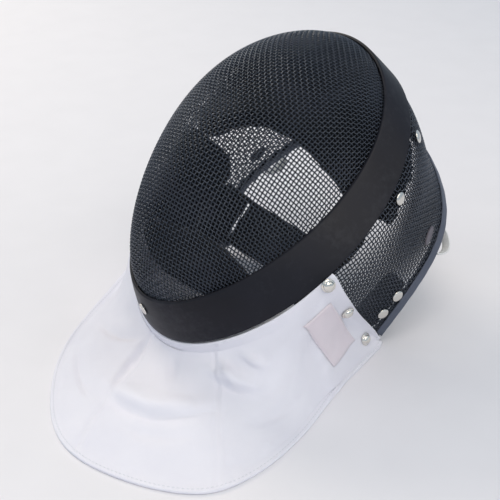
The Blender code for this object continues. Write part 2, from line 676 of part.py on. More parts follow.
# ---------------------------------------------------------------- bib
def bib_sections(columns):
    """Table of the bib's rows, read at any row number by smooth curves."""
    table = np.array(BIB_ROWS, float)
    read = smooth_curve(table, np.asarray(columns) / (len(table) - 1), by_length=False)
    return {name: read[:, i] for i, name in enumerate(BIB_COLUMNS)}


def bib_height(columns):
    """Height of each fold in the cloth over a grid of rows and shares."""
    shares = np.linspace(0.0, 1.0, CLOTH_LAP_ROWS + CLOTH_ROWS + 1)[:, None]
    total = np.zeros((len(shares), len(columns)))
    stretch, spacing = FOLD_GRID
    for values in BIB_FOLDS:
        fold = dict(zip(FOLD_COLUMNS, values))
        run = np.array((fold["row_to"] - fold["row_from"],
                        (fold["down_to"] - fold["down_from"]) * stretch))
        at = np.stack(np.broadcast_arrays(columns - fold["row_from"],
                                          (shares - fold["down_from"]) * stretch), -1)
        along = np.clip((at @ run) / (run @ run), 0, 1)
        away = np.linalg.norm(at - along[..., None] * run, axis=-1) * spacing
        ends = np.sin(np.clip(along, FOLD_ENDS, 1 - FOLD_ENDS) * math.pi) ** 0.5
        total += fold["height"] * ends * np.exp(-(away / fold["width"]) ** 2)
    return total / 1000


def bib_surface(columns):
    """Middle of the cloth: rows from where it hangs down to the hem, in resting position."""
    columns = np.asarray(columns, float)
    read = bib_sections(columns)
    lift = CLOTH_ROOM + CLOTH / 2
    hem_height = CLOTH / 2
    shares = np.linspace(0.0, 1.0, CLOTH_LAP_ROWS + 1)
    lines = []
    for i in range(len(columns)):
        angle = math.radians(read["angle"][i])
        mirror = 1 if angle < math.pi else -1
        from_top = angle if mirror > 0 else 2 * math.pi - angle
        run = (1 - from_top / SIDE_ANGLE) / 2
        reach = max(read["reach"][i], LEAST_REACH)
        leave = read["leave"][i]
        if run > 0:
            lap = [side_point(run * (1 - k * LEAVE_RUN), reach + (leave - reach) * k, lift)[0]
                   for k in shares]
        else:
            ahead = rim_point(from_top, 1.0, MESH_INSET - lift)
            slope = unit(ahead - rim_point(from_top, 0.9, MESH_INSET - lift))
            lap = [ahead + slope * (CLOTH_START + CLOTH_LAP * k) for k in shares]
        lap = lean(np.array(lap) * (mirror, 1, 1))
        hem = np.array((read["hem_x"][i] / 1000, read["hem_y"][i] / 1000, hem_height))
        start = lap[-1]
        inward = (start - hem) * (1, 1, 0)
        room = np.linalg.norm(inward)
        landing = hem + inward / room * min(HEM_FLAT, room * HEM_SHARE)
        brim = read["brim"][i]
        lift_here = read["lift"][i] / 1000
        crease = start * brim + landing * (1 - brim)
        crease[2] = min(start[2] * 0.7, hem_height + lift_here)
        slack = unit(lap[-1] - lap[-2])
        place, proud, height = SHOULDER
        shoulder = start * place + crease * (1 - place)
        shoulder += slack * proud * min(1.0, start[2] / height)
        flat = crease * (1 - FLAT_PLACE) + landing * FLAT_PLACE
        flat[2] = hem_height + lift_here * FLAT_LIFT
        fall = smooth_curve([start, shoulder, crease, flat, landing],
                            np.linspace(0, 1, CLOTH_ROWS))
        fall[:, 2] = np.maximum(fall[:, 2], hem_height)
        lines.append(np.concatenate([lap[:-1], fall, [hem]]))
    return np.array(lines).transpose(1, 0, 2)


def surface_normals(grid):
    """Unit normals of a grid of points, to the side that faces up and out."""
    down, along = np.gradient(grid, axis=0), np.gradient(grid, axis=1)
    return unit(np.cross(along, down))


def bib_faces(columns, low, high):
    """Two faces of a sheet that lies over the bib, from low to high off the cloth's middle."""
    columns = np.asarray(columns, float)
    middle = bib_surface(columns)
    normals = surface_normals(middle)
    soft = np.ones(len(middle))
    soft[:CLOTH_LAP_ROWS + 2] = 0.0
    middle = middle + normals * bib_height(columns)[..., None] * soft[:, None, None]
    return middle + normals * low, middle + normals * high


def on_bib(row, share, lift):
    """Point, outward normal and downward direction at a lift over the cloth's middle."""
    step = 0.05
    sheet = bib_faces((row - step, row, row + step), 0.0, lift)[1]
    place = share * (len(sheet) - 1)
    first = min(int(place), len(sheet) - 2)
    edge = sheet[first] + (sheet[first + 1] - sheet[first]) * (place - first)
    down = unit(sheet[first + 1, 1] - sheet[first, 1])
    return edge[1], unit(np.cross(edge[2] - edge[0], down)), down


def bib_spot(target, spot):
    """Row and share of the place on the cloth nearest to a target, from a first guess."""
    for _ in range(5):
        here = on_bib(*spot, 0.0)[0]
        slopes = [(on_bib(spot[0] + 0.05, spot[1], 0.0)[0] - here) / 0.05,
                  (on_bib(spot[0], spot[1] + 0.01, 0.0)[0] - here) / 0.01]
        move = np.linalg.lstsq(np.stack(slopes, -1), target - here, rcond=None)[0]
        spot = spot + np.clip(move, (-0.8, -0.1), (0.8, 0.1))
    return spot


def label_patch(mask):
    """A thin blank label sewn to the left tab, with straight edges between its corners."""
    corners = np.array(LABEL_CORNERS)
    points = [on_bib(*corner, 0.0)[0] for corner in corners]
    steps = np.linspace(0.0, 1.0, 5)
    over, under = [], []
    for v in steps:
        line = []
        for u in steps:
            shares = ((1 - u) * (1 - v), u * (1 - v), u * v, (1 - u) * v)
            target = sum(point * share for point, share in zip(points, shares))
            line.append(bib_spot(target, np.dot(shares, corners)))
        over.append([on_bib(*spot, CLOTH / 2 + LABEL_LIFT + LABEL_THICK)[0] for spot in line])
        under.append([on_bib(*spot, CLOTH / 2 + LABEL_LIFT)[0] for spot in line])
    wall("label_patch", over, under, "label", mask)


def tab_studs(mask):
    last = len(BIB_ROWS) - 1
    size = (STUD_RADIUS, STUD_RADIUS)
    for side in ("left", "right"):
        for number, (row, share) in enumerate(TAB_STUDS, start=1):
            row = row if side == "left" else last - row
            seat, normal, down = on_bib(row, share, CLOTH / 2 + STUD_LIFT)
            name = "snap_stud_%s_%d" % (side, number)
            domed_disc(name, seat, normal, down, size, stud_rows(STUD_HEIGHT), "rivet", mask)


def bib(mask):
    count = (len(BIB_ROWS) - 1) * BIB_SPACING
    columns = np.linspace(0.0, len(BIB_ROWS) - 1, count + 1)
    under, over = bib_faces(columns, -CLOTH / 2, CLOTH / 2)
    under[CLOTH_LAP_ROWS:, :, 2] = np.maximum(under[CLOTH_LAP_ROWS:, :, 2], 0.0)
    under[-2:, :, 2] = 0.0
    over[-2:, :, 2] = CLOTH
    wall("bib", over, under, "cloth", mask)


# ---------------------------------------------------------------- the whole mask
def main():
    for old in list(bpy.data.objects):
        bpy.data.objects.remove(old, do_unlink=True)
    mask = bpy.data.objects.new("mask", None)
    bpy.context.collection.objects.link(mask)
    mask.location = (0.0, CENTRE_Y, 0.0)
    shell = bpy.data.objects.new("shell", None)
    bpy.context.collection.objects.link(shell)
    shell.parent = mask
    shell.matrix_local = Matrix.Translation((0, 0, RIM_CENTRE)) @ Matrix.Rotation(-LEAN, 4, "X")
    for build in (front_mesh, rim_band, side_mesh, rear_trim, jaw_patches, rivets,
                  strap_anchors, forehead_pad, cheek_pads, chin_pad):
        build(shell)
    for build in (neck_strap, bib, label_patch, tab_studs):
        build(mask)


main()
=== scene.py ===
import math

import bmesh
import bpy
import numpy as np
from mathutils import Matrix, Vector, noise


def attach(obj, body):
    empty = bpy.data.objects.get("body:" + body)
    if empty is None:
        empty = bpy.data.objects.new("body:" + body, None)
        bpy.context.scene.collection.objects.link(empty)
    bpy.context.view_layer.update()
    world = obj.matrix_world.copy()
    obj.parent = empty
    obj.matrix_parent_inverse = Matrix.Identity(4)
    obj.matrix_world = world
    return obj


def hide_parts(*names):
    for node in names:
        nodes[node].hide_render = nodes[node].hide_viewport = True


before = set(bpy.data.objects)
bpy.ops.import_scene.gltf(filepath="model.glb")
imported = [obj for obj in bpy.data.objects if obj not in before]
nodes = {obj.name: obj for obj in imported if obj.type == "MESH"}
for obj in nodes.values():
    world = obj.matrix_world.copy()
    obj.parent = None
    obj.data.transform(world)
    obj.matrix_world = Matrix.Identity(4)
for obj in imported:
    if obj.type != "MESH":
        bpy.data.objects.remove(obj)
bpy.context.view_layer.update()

# Fencing mask on a floor: the wearer faces -Y, the wearer's left is +X. Lengths are in metres.
print("frame loaded,", len(nodes), "nodes")


# the shell's form, the same sizes that its solids have
shellForm = {
    "lean": math.radians(52.1),       # how far the upright shell leans back
    "rimCentre": 0.150,
    "centreY": 0.0295,
    "rimHeight": 0.2769,
    "rimWidth": 0.1900,
    "rimEgg": 0.145,
    "rimTilt": 0.0008,
    "rimBow": -0.0046,
    "bandDepth": (0.0271, -0.0066, 0.0062),
    "bandFlare": (0.0165, -0.0065, -0.0080),
    "bandThick": 0.0025,
    "meshInset": 0.0032,              # band's face to the mesh's outer face
    "meshThick": 0.0020,
    "domeDepth": 0.0740,
    "domeApex": 0.0011,
    "domePower": 1.44,
    "sideAngle": math.radians(120.0),
    "sideLeave": 0.70,
    "sideArrive": -0.41,
    "trimPoints": ((0.1009, 0.1507, -0.0444), (0.1144, 0.1314, -0.0006), (0.0940, 0.1300, 0.0786),
                   (0.0, 0.0963, 0.1280)),
    "gap": 0.0004,
}


def unitRows(vectors):
    length = np.linalg.norm(vectors, axis=-1, keepdims=True)
    return vectors / np.maximum(length, 1e-12)


def roundTerms(terms, angle):        # mean, once-round and twice-round parts
    return terms[0] + terms[1] * np.cos(angle) + terms[2] * np.cos(2 * angle)


def hermite(t, start, leave, end, arrive):   # from start to end, with a slope at each
    return ((2 * t ** 3 - 3 * t ** 2 + 1) * start + (t ** 3 - 2 * t ** 2 + t) * leave
            + (3 * t ** 2 - 2 * t ** 3) * end + (t ** 3 - t ** 2) * arrive)


def between(table, i, j, u, v):      # part of the way past row i and column j
    return (table[i, j] * (1 - u) * (1 - v) + table[i + 1, j] * u * (1 - v)
            + table[i, j + 1] * (1 - u) * v + table[i + 1, j + 1] * u * v)


def tableAt(table, spots):           # spots count in rows and columns
    limit = np.array(table.shape[:2]) - 1.001
    spots = np.clip(spots, 0, limit)
    i, j = spots[..., 0].astype(int), spots[..., 1].astype(int)
    return between(table, i, j, (spots[..., 0] - i)[..., None], (spots[..., 1] - j)[..., None])


def indexAt(value, marks):           # where a value lies among rising marks
    return np.interp(value, marks, np.arange(len(marks)))


def markAt(index, marks):
    return np.interp(index, np.arange(len(marks)), marks)


def runningLength(lines, axis=0):    # how far along its line each point is
    steps = np.linalg.norm(np.diff(lines, axis=axis), axis=-1)
    lengths = np.cumsum(steps, axis=axis)
    return np.concatenate([np.zeros_like(np.take(lengths, [0], axis)), lengths], axis)


def naturalCurve(points, samples, byLength=True):
    points = np.asarray(points, float)
    count = len(points)
    steps = np.linalg.norm(np.diff(points, axis=0), axis=1) if byLength else np.ones(count - 1)
    knots = np.concatenate([[0.0], np.cumsum(steps)])
    knots = knots / knots[-1]
    gaps = np.diff(knots)
    matrix = np.eye(count)
    bends = np.zeros_like(points)
    for i in range(1, count - 1):
        matrix[i, i - 1:i + 2] = gaps[i - 1], 2 * (gaps[i - 1] + gaps[i]), gaps[i]
        rise = (points[i + 1] - points[i]) / gaps[i]
        bends[i] = 6 * (rise - (points[i] - points[i - 1]) / gaps[i - 1])
    bends = np.linalg.solve(matrix, bends)
    samples = np.asarray(samples, float)
    span = np.clip(np.searchsorted(knots, samples, side="right") - 1, 0, count - 2)
    width = gaps[span][..., None]
    before = (knots[span + 1] - samples)[..., None] / width
    after = (samples - knots[span])[..., None] / width
    curve = before * points[span] + after * points[span + 1]
    bow = (before ** 3 - before) * bends[span] + (after ** 3 - after) * bends[span + 1]
    return curve + bow * width ** 2 / 6


def rimPoint(angle, across, inset=0.0):      # angle from the top, across 0 front to 1 rear
    form = shellForm
    angle, across = np.asarray(angle, float), np.asarray(across, float)
    c, s = np.cos(angle), np.sin(angle)
    x = form["rimWidth"] / 2 * s * (1 + form["rimEgg"] * c)
    z = form["rimHeight"] / 2 * c
    runX = form["rimWidth"] / 2 * (c * (1 + form["rimEgg"] * c) - form["rimEgg"] * s * s)
    runZ = -form["rimHeight"] / 2 * s
    length = np.hypot(runX, runZ)
    y = roundTerms((0.0, form["rimTilt"], form["rimBow"]), angle)
    y = y + across * roundTerms(form["bandDepth"], angle)
    out = across * roundTerms(form["bandFlare"], angle) - inset
    return np.stack([x - runZ / length * out, y, z + runX / length * out], -1)


def domePoint(angle, radius, inset, sunk):   # radius 0 at the foremost point, 1 at the rim
    form = shellForm
    rim = rimPoint(angle, 0.0, inset)
    spread = np.sin(radius * math.pi / 2)
    depth = np.cos(radius * math.pi / 2) ** form["domePower"]
    x = rim[..., 0] * spread
    y = rim[..., 1] * (1 - depth) - (form["domeDepth"] - sunk) * depth
    z = form["domeApex"] + (rim[..., 2] - form["domeApex"]) * spread
    return np.stack([x, y, z], -1)


def trimCurve(runs):                 # run 0 at the left jaw, 0.5 at the crown, 1 at the right jaw
    left = list(shellForm["trimPoints"][:3])
    right = [(-x, y, z) for x, y, z in reversed(left)]
    return naturalCurve(left + [shellForm["trimPoints"][3]] + right, runs)


def sideLay(runs, share, inset):     # share 0 at the band's rear edge, 1 at the trim
    form = shellForm
    angle = form["sideAngle"] * (1 - 2 * runs)
    start = rimPoint(angle, 1.0, inset)
    slope = unitRows(start - rimPoint(angle, 0.9, inset))
    end = trimCurve(runs)
    chord = end - start
    length = np.linalg.norm(chord, axis=-1, keepdims=True)
    leave = slope * length * form["sideLeave"]
    arrive = (2 * chord - slope * length) * form["sideArrive"] + (1 - form["sideArrive"]) * chord
    v = share[..., None]
    return np.where(v < 0, start + leave * v, hermite(v, start, leave, end, arrive))


def sidePoint(runs, reach, lift=0.0):        # side mesh's outer face, lifted off it
    runs = np.atleast_1d(np.asarray(runs, float))
    share = np.broadcast_to(np.asarray(reach, float), runs.shape)
    inset, step = shellForm["meshInset"], 0.004
    ahead = sideLay(np.clip(runs + step, 0, 1), share, inset)
    along = ahead - sideLay(np.clip(runs - step, 0, 1), share, inset)
    back = sideLay(runs, share + step, inset) - sideLay(runs, share - step, inset)
    normal = unitRows(np.cross(back, along))
    return sideLay(runs, share, inset) + normal * np.asarray(lift)[..., None]


def sideFrame(run, reach):
    point = sidePoint(run, reach)[0]
    normal = unitRows(sidePoint(run, reach, 0.001)[0] - point)
    back = unitRows(sidePoint(run, reach + 0.004)[0] - sidePoint(run, reach - 0.004)[0])
    return point, normal, back


def leanBack(points):                # from the upright shell to the mask as it rests
    points = np.asarray(points, float)
    c, s = math.cos(shellForm["lean"]), math.sin(shellForm["lean"])
    y = points[..., 1] * c + points[..., 2] * s + shellForm["centreY"]
    z = points[..., 2] * c - points[..., 1] * s + shellForm["rimCentre"]
    return np.stack([points[..., 0], y, z], -1)


def leanVector(vectors):
    return leanBack(vectors) - leanBack(np.zeros(3))


# small tools for meshes and nodes
def deselectAll():
    if bpy.context.object and bpy.context.object.mode != "OBJECT":
        bpy.ops.object.mode_set(mode="OBJECT")
    bpy.ops.object.select_all(action="DESELECT")


def selectOnly(piece):
    deselectAll()
    piece.select_set(True)
    bpy.context.view_layer.objects.active = piece


def finishPiece(piece, paint, slot, *standsFor, body="root"):
    piece.data.materials.clear()
    piece.data.materials.append(paints[paint])
    piece.data.shade_smooth()
    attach(piece, body)
    if standsFor:
        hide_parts(*standsFor)
    return piece


def linkedPiece(name, data):
    piece = bpy.data.objects.new(name, data)
    bpy.context.scene.collection.objects.link(piece)
    return piece


def meshPiece(name, points, faces):
    data = bpy.data.meshes.new(name)
    data.from_pydata(points, [], faces)
    return linkedPiece(name, data)


def pieceFromArrays(name, points, quads, uv=None):
    piece = meshPiece(name, np.asarray(points, float).tolist(), np.asarray(quads).tolist())
    data = piece.data
    if uv is not None:
        layer = data.uv_layers.new(name="lay")
        loopVertex = np.zeros(len(data.loops), int)
        data.loops.foreach_get("vertex_index", loopVertex)
        layer.data.foreach_set("uv", np.asarray(uv, np.float32)[loopVertex].ravel())
    data.update()
    faceOutwards(piece)
    return piece


def faceOutwards(piece):
    work = bmesh.new()
    work.from_mesh(piece.data)
    bmesh.ops.remove_doubles(work, verts=work.verts, dist=1e-6)
    bmesh.ops.recalc_face_normals(work, faces=work.faces)
    work.to_mesh(piece.data)
    work.free()


def applyModifier(piece, kind, **values):
    selectOnly(piece)
    modifier = piece.modifiers.new(kind.lower(), kind)
    for key, value in values.items():
        setattr(modifier, key, value)
    if kind == "SUBSURF":
        modifier.render_levels = modifier.levels
    bpy.ops.object.modifier_apply(modifier=modifier.name)


def placePiece(piece, matrix):       # its place goes into its mesh
    piece.data.transform(matrix)
    piece.matrix_world = Matrix.Identity(4)


def copyPiece(piece, name):          # each copy has its own mesh
    data = piece.data.copy()
    data.name = name
    return linkedPiece(name, data)


def seatMatrix(seat, normal, along):
    up = Vector(normal).normalized()
    first = (Vector(along) - up * up.dot(Vector(along))).normalized()
    second = up.cross(first)
    turn = Matrix((first, second, up)).transposed().to_4x4()
    return Matrix.Translation(Vector(seat)) @ turn


def sheetSolid(outer, inner, wrap=False):    # two grids of points and the edge between them
    rows, columns = outer.shape[:2]
    total = rows * columns
    index = np.arange(total).reshape(rows, columns)
    if wrap:
        index = np.concatenate([index, index[:, :1]], 1)
    a, b, c, d = index[:-1, :-1], index[:-1, 1:], index[1:, 1:], index[1:, :-1]
    top = np.stack([b, c, d, a], -1).reshape(-1, 4)
    bottom = np.stack([a, d, c, b], -1).reshape(-1, 4) + total
    if wrap:
        rings = [index[0, ::-1], index[-1]]
    else:
        rings = [np.concatenate([index[0, ::-1], index[1:, 0], index[-1, 1:],
                                 index[-2::-1, -1]])]
    edges = [np.stack([r[:-1], r[:-1] + total, r[1:] + total, r[1:]], -1) for r in rings]
    points = np.concatenate([outer.reshape(-1, 3), inner.reshape(-1, 3)])
    return points, np.concatenate([top, bottom] + edges)


def sweepSolid(rings, closed=False):
    rings = np.asarray(rings, float)
    count, sides = rings.shape[:2]
    index = np.arange(count * sides).reshape(count, sides)
    around = np.concatenate([index, index[:, :1]], 1)
    if closed:
        around = np.concatenate([around, around[:1]])
    quads = np.stack([around[:-1, :-1], around[:-1, 1:], around[1:, 1:], around[1:, :-1]], -1)
    quads = quads.reshape(-1, 4).tolist()
    if not closed:
        quads += [index[0, ::-1].tolist(), index[-1].tolist()]
    return rings.reshape(-1, 3), quads


def sweptPiece(name, rings, closed=False):
    points, faces = sweepSolid(rings, closed)
    piece = meshPiece(name, points.tolist(), faces)
    faceOutwards(piece)
    return piece


# finishes
def addNode(tree, kind, links=None, **settings):
    made = tree.nodes.new("ShaderNode" + kind)
    for key, value in settings.items():
        if key.startswith("in"):
            place = key[2:]
            made.inputs[int(place) if place.isdigit() else place].default_value = value
        else:
            setattr(made, key, value)
    for socket, source in (links or {}).items():
        tree.links.new(source, made.inputs[socket])
    return made


def mathFrom(tree, operation, *values):      # of sockets and numbers
    made = tree.nodes.new("ShaderNodeMath")
    made.operation = operation
    for socket, value in zip(made.inputs, values):
        if isinstance(value, float):
            socket.default_value = value
        else:
            tree.links.new(value, socket)
    return made.outputs[0]


def rampFrom(tree, value, low, high, first=0.0, last=1.0):
    ramp = addNode(tree, "MapRange", {0: value}, in1=low, in2=high, in3=first, in4=last)
    return ramp.outputs[0]


def startGroup(name, number, value, *results):   # a group that takes a vector and one number
    tree = bpy.data.node_groups.new(name, "ShaderNodeTree")
    sockets = [("Vector", "INPUT", "Vector"), (number, "INPUT", "Float")]
    sockets += [(result, "OUTPUT", "Float") for result in results]
    made = [tree.interface.new_socket(name=label, in_out=way, socket_type="NodeSocket" + kind)
            for label, way, kind in sockets]
    made[1].default_value = value
    given, result = tree.nodes.new("NodeGroupInput"), tree.nodes.new("NodeGroupOutput")
    return tree, given.outputs[0], given.outputs[1], result.inputs


def makeGrainGroup():                # fine bumps in two sizes, and slow changes of tone
    tree, vector, size, result = startGroup("grain", "Size", 900.0, "Height", "Tone")
    cells = addNode(tree, "TexVoronoi", {"Vector": vector, "Scale": size}, feature="SMOOTH_F1")
    fine = addNode(tree, "TexNoise", {"Vector": vector, "Scale": size}, inDetail=3.0,
                   inRoughness=0.6)
    slow = addNode(tree, "TexNoise", {"Vector": vector}, inScale=22.0, inDetail=4.0)
    tree.links.new(mathFrom(tree, "ADD", cells.outputs[0], fine.outputs[0]), result[0])
    tree.links.new(slow.outputs[0], result[1])
    return tree


def makeWeaveGroup():                # over and under threads, read in two directions
    tree, vector, threads, result = startGroup("weave", "Threads", 1600.0, "Height", "Tone")
    apart = addNode(tree, "SeparateXYZ", {0: vector})
    waves = []
    for axis in (0, 1):
        along = mathFrom(tree, "MULTIPLY", apart.outputs[axis], threads)
        waves.append(mathFrom(tree, "SINE", mathFrom(tree, "MULTIPLY", along, math.tau)))
    cross = mathFrom(tree, "MULTIPLY", *waves)
    slow = addNode(tree, "TexNoise", {"Vector": vector}, inScale=35.0, inDetail=5.0)
    tree.links.new(mathFrom(tree, "MULTIPLY_ADD", cross, 0.5, 0.5), result[0])
    tree.links.new(slow.outputs[0], result[1])
    return tree


def makeDustGroup():                 # pale specks and smudges
    tree, vector, amount, result = startGroup("dust", "Amount", 0.3, "Mask")
    spots = addNode(tree, "TexNoise", {"Vector": vector}, inScale=240.0, inDetail=6.0,
                    inRoughness=0.7)
    patches = addNode(tree, "TexNoise", {"Vector": vector}, inScale=18.0, inDetail=3.0)
    both = mathFrom(tree, "MULTIPLY", spots.outputs[0], patches.outputs[0])
    mask = mathFrom(tree, "MULTIPLY", rampFrom(tree, both, 0.24, 0.42), amount)
    tree.links.new(mask, result[0])
    return tree


grainGroup, weaveGroup, dustGroup = makeGrainGroup(), makeWeaveGroup(), makeDustGroup()


def startPaint(name, finish):
    paint = bpy.data.materials.new(name)
    paint.use_nodes = True
    tree = paint.node_tree
    shader = tree.nodes["Principled BSDF"]
    for key, value in finish.items():
        shader.inputs[key].default_value = (*value, 1.0) if isinstance(value, tuple) else value
    place = tree.nodes.new("ShaderNodeTexCoord")
    return paint, tree, shader, place


def mixTones(tree, mask, dark, light, low=0.3, high=0.7):
    mix = addNode(tree, "Mix", {0: rampFrom(tree, mask, low, high)}, data_type="RGBA")
    mix.inputs[6].default_value = (*dark, 1.0)
    mix.inputs[7].default_value = (*light, 1.0)
    return mix.outputs[2]


def groupNode(tree, group, vector, **values):
    made = tree.nodes.new("ShaderNodeGroup")
    made.node_tree = group
    tree.links.new(vector, made.inputs["Vector"])
    for key, value in values.items():
        made.inputs[key].default_value = value
    return made


def roughTones(tree, shader, mask, low, high):
    tree.links.new(rampFrom(tree, mask, 0.3, 0.7, low, high), shader.inputs["Roughness"])


def bumpFrom(tree, shader, height, depth, strength):
    bump = addNode(tree, "Bump", {"Height": height}, inStrength=strength, inDistance=depth)
    tree.links.new(bump.outputs[0], shader.inputs["Normal"])


def coatedPaint(name, finish, look):     # a smooth coat with fine grain and a little dust
    paint, tree, shader, place = startPaint(name, finish)
    spots = place.outputs["Object"]
    grain = groupNode(tree, grainGroup, spots, Size=look["grain"])
    dust = groupNode(tree, dustGroup, spots, Amount=look["dust"])
    colour = mixTones(tree, grain.outputs["Tone"], look["dark"], look["light"])
    mix = addNode(tree, "Mix", {0: dust.outputs[0], 6: colour}, data_type="RGBA")
    mix.inputs[7].default_value = (*look["dustTone"], 1.0)
    tree.links.new(mix.outputs[2], shader.inputs["Base Color"])
    roughTones(tree, shader, grain.outputs["Tone"], *look["rough"])
    bumpFrom(tree, shader, grain.outputs["Height"], *look["bump"])
    return paint


def wirePaint():
    finish = {"Metallic": 0.10, "Roughness": 0.24, "Specular IOR Level": 0.7,
              "Specular Tint": (0.74, 0.84, 1.0)}
    look = {"dark": (0.008, 0.0095, 0.0145), "light": (0.024, 0.028, 0.040), "grain": 2600.0,
            "dust": 0.10, "dustTone": (0.20, 0.21, 0.23), "rough": (0.20, 0.32),
            "bump": (0.00004, 0.5)}
    return coatedPaint("coated wire", finish, look)


def vinylPaint(name, dark, light, rough, dust):
    look = {"dark": dark, "light": light, "grain": 1500.0, "dust": dust,
            "dustTone": (0.22, 0.23, 0.26), "rough": (rough - 0.05, rough + 0.07),
            "bump": (0.00006, 0.45)}
    return coatedPaint(name, {"Metallic": 0.0, "Specular IOR Level": 0.22}, look)


def fibreFinish(sheen, sheenRough, rough, shine):
    return {"Metallic": 0.0, "Sheen Weight": sheen, "Sheen Roughness": sheenRough,
            "Roughness": rough, "Specular IOR Level": shine}


def clothPaint(name, dark, light, threads, depth):
    paint, tree, shader, place = startPaint(name, fibreFinish(0.15, 0.5, 0.86, 0.25))
    weave = groupNode(tree, weaveGroup, place.outputs["UV"], Threads=threads).outputs
    grain = groupNode(tree, grainGroup, place.outputs["Object"], Size=700.0).outputs
    tone = mathFrom(tree, "MULTIPLY_ADD", weave["Tone"], weave["Height"], grain["Tone"])
    mask = mathFrom(tree, "MULTIPLY", tone, 0.66)
    tree.links.new(mixTones(tree, mask, dark, light, 0.15, 0.85), shader.inputs["Base Color"])
    height = mathFrom(tree, "MULTIPLY_ADD", grain["Height"], weave["Height"], weave["Height"])
    bumpFrom(tree, shader, height, depth, 0.6)
    return paint


def metalPaint(name, dark, light, rough):
    paint, tree, shader, place = startPaint(name, {"Metallic": 1.0})
    grain = groupNode(tree, grainGroup, place.outputs["Object"], Size=1800.0)
    colour = mixTones(tree, grain.outputs["Tone"], dark, light)
    tree.links.new(colour, shader.inputs["Base Color"])
    roughTones(tree, shader, grain.outputs["Tone"], rough - 0.04, rough + 0.08)
    bumpFrom(tree, shader, grain.outputs["Height"], 0.00002, 0.4)
    return paint


def brushedPaint(name, dark, light, size, depth, rough=0.95, sheen=0.35):
    paint, tree, shader, place = startPaint(name, fibreFinish(sheen, 0.4, rough, 0.2))
    grain = groupNode(tree, grainGroup, place.outputs["Object"], Size=size).outputs
    mask = mathFrom(tree, "MULTIPLY", grain["Height"], grain["Tone"])
    tree.links.new(mixTones(tree, mask, dark, light, 0.1, 0.8), shader.inputs["Base Color"])
    bumpFrom(tree, shader, grain["Height"], depth, 0.8)
    return paint


paints = {
    "wire": wirePaint(),
    "band": vinylPaint("band vinyl", (0.0058, 0.0060, 0.0100), (0.0100, 0.0104, 0.0165),
                       0.44, 0.05),
    "trim": vinylPaint("trim vinyl", (0.076, 0.087, 0.120), (0.104, 0.118, 0.156), 0.46, 0.08),
    "cloth": clothPaint("white cloth", (0.81, 0.80, 0.88), (0.90, 0.89, 0.95), 1500.0, 0.00015),
    "thread": clothPaint("white thread", (0.66, 0.67, 0.73), (0.80, 0.81, 0.85), 2500.0, 0.0001),
    "label": clothPaint("woven label", (0.70, 0.63, 0.68), (0.79, 0.72, 0.76), 2600.0, 0.00006),
    "rivet": metalPaint("rivet metal", (0.64, 0.62, 0.57), (0.78, 0.76, 0.71), 0.19),
    "stud": metalPaint("stud metal", (0.72, 0.69, 0.63), (0.86, 0.83, 0.77), 0.18),
    "padding": brushedPaint("dark brushed pad", (0.0045, 0.0045, 0.006), (0.011, 0.011, 0.014),
                            900.0, 0.0004, 0.95, 0.10),
    "webbing": brushedPaint("dark webbing", (0.012, 0.012, 0.016), (0.022, 0.023, 0.028),
                            1400.0, 0.0002, 0.80, 0.15),
    "elastic": brushedPaint("pale elastic", (0.66, 0.66, 0.65), (0.78, 0.78, 0.77),
                            1200.0, 0.0002),
    "plastic": vinylPaint("grey plastic", (0.11, 0.10, 0.12), (0.15, 0.14, 0.165), 0.40, 0.05),
}
print("finishes made:", len(paints))


# woven wire
wireForm = {
    "pitch": 0.0031,                 # wire to wire
    "radius": 0.00055,
    "weave": 0.00047,                # how far a wire passes over or under
    "sides": 6,
    "hold": 0.22,                    # share of the pitch that it stays over or under
    "underBand": 0.0100,             # how far the face wires reach under the band
    "sideTilt": 0.113,               # lean of the side's upright wires
    "trimSlot": 0.0014,              # side wires end this far ahead of the shell's edge
    "faceHalf": 62,                  # wires each way from the foremost point
    "faceRoom": 0.02,                # how far past the rim crossings are looked for
    "rounds": 12,                    # steps towards a crossing, each half a pitch at most
    "jawEdge": 0.002,                # runs left bare at both jaws
    "sideUnder": 0.011,              # how far the side wires reach under the band
    "sideStart": 17,                 # pitches up to the side's first level wire
    "sideLevels": (30, 36),          # and how many it has below and above
}


def wirePiece(name, crossings, normals, allowed, side):
    # one wire per row of the crossings; side is +1 or -1 for over or under at an even crossing
    form = wireForm
    turns = np.arange(form["sides"]) * math.tau / form["sides"]
    points, quads, base = [], [], 0
    for i in range(len(crossings)):
        good = np.flatnonzero(allowed[i])
        if len(good) < 3:
            continue
        for run in np.split(good, np.flatnonzero(np.diff(good) > 1) + 1):
            if len(run) < 3:
                continue
            line, up = crossings[i, run], normals[i, run]
            sign = side * np.where((run + i) % 2 == 0, 1.0, -1.0)[:, None]
            middle = line + up * sign * form["weave"]
            ahead = np.concatenate([line[1:], line[-1:] * 2 - line[-2:-1]]) - line
            behind = line - np.concatenate([line[:1] * 2 - line[1:2], line[:-1]])
            centres = np.stack([middle - behind * form["hold"], middle + ahead * form["hold"]], 1)
            centres = centres.reshape(-1, 3)
            ups = np.repeat(up, 2, axis=0)
            tangent = unitRows(np.gradient(centres, axis=0))
            sideways = unitRows(np.cross(tangent, ups))
            over = np.cross(sideways, tangent)
            ring = (sideways[:, None] * np.cos(turns)[None, :, None]
                    + over[:, None] * np.sin(turns)[None, :, None]) * form["radius"]
            ring = (centres[:, None] + ring).reshape(-1, 3)
            count = len(centres)
            index = base + np.arange(count * form["sides"]).reshape(count, form["sides"])
            around = np.concatenate([index, index[:, :1]], 1)
            wall = np.stack([around[:-1, :-1], around[1:, :-1], around[1:, 1:], around[:-1, 1:]],
                            -1)
            quads += wall.reshape(-1, 4).tolist()
            quads += [index[0].tolist(), index[-1, ::-1].tolist()]
            points.append(ring)
            base += count * form["sides"]
    print(name, "has", sum(len(quad) - 2 for quad in quads), "triangles")
    return meshPiece(name, np.concatenate(points).tolist(), quads)


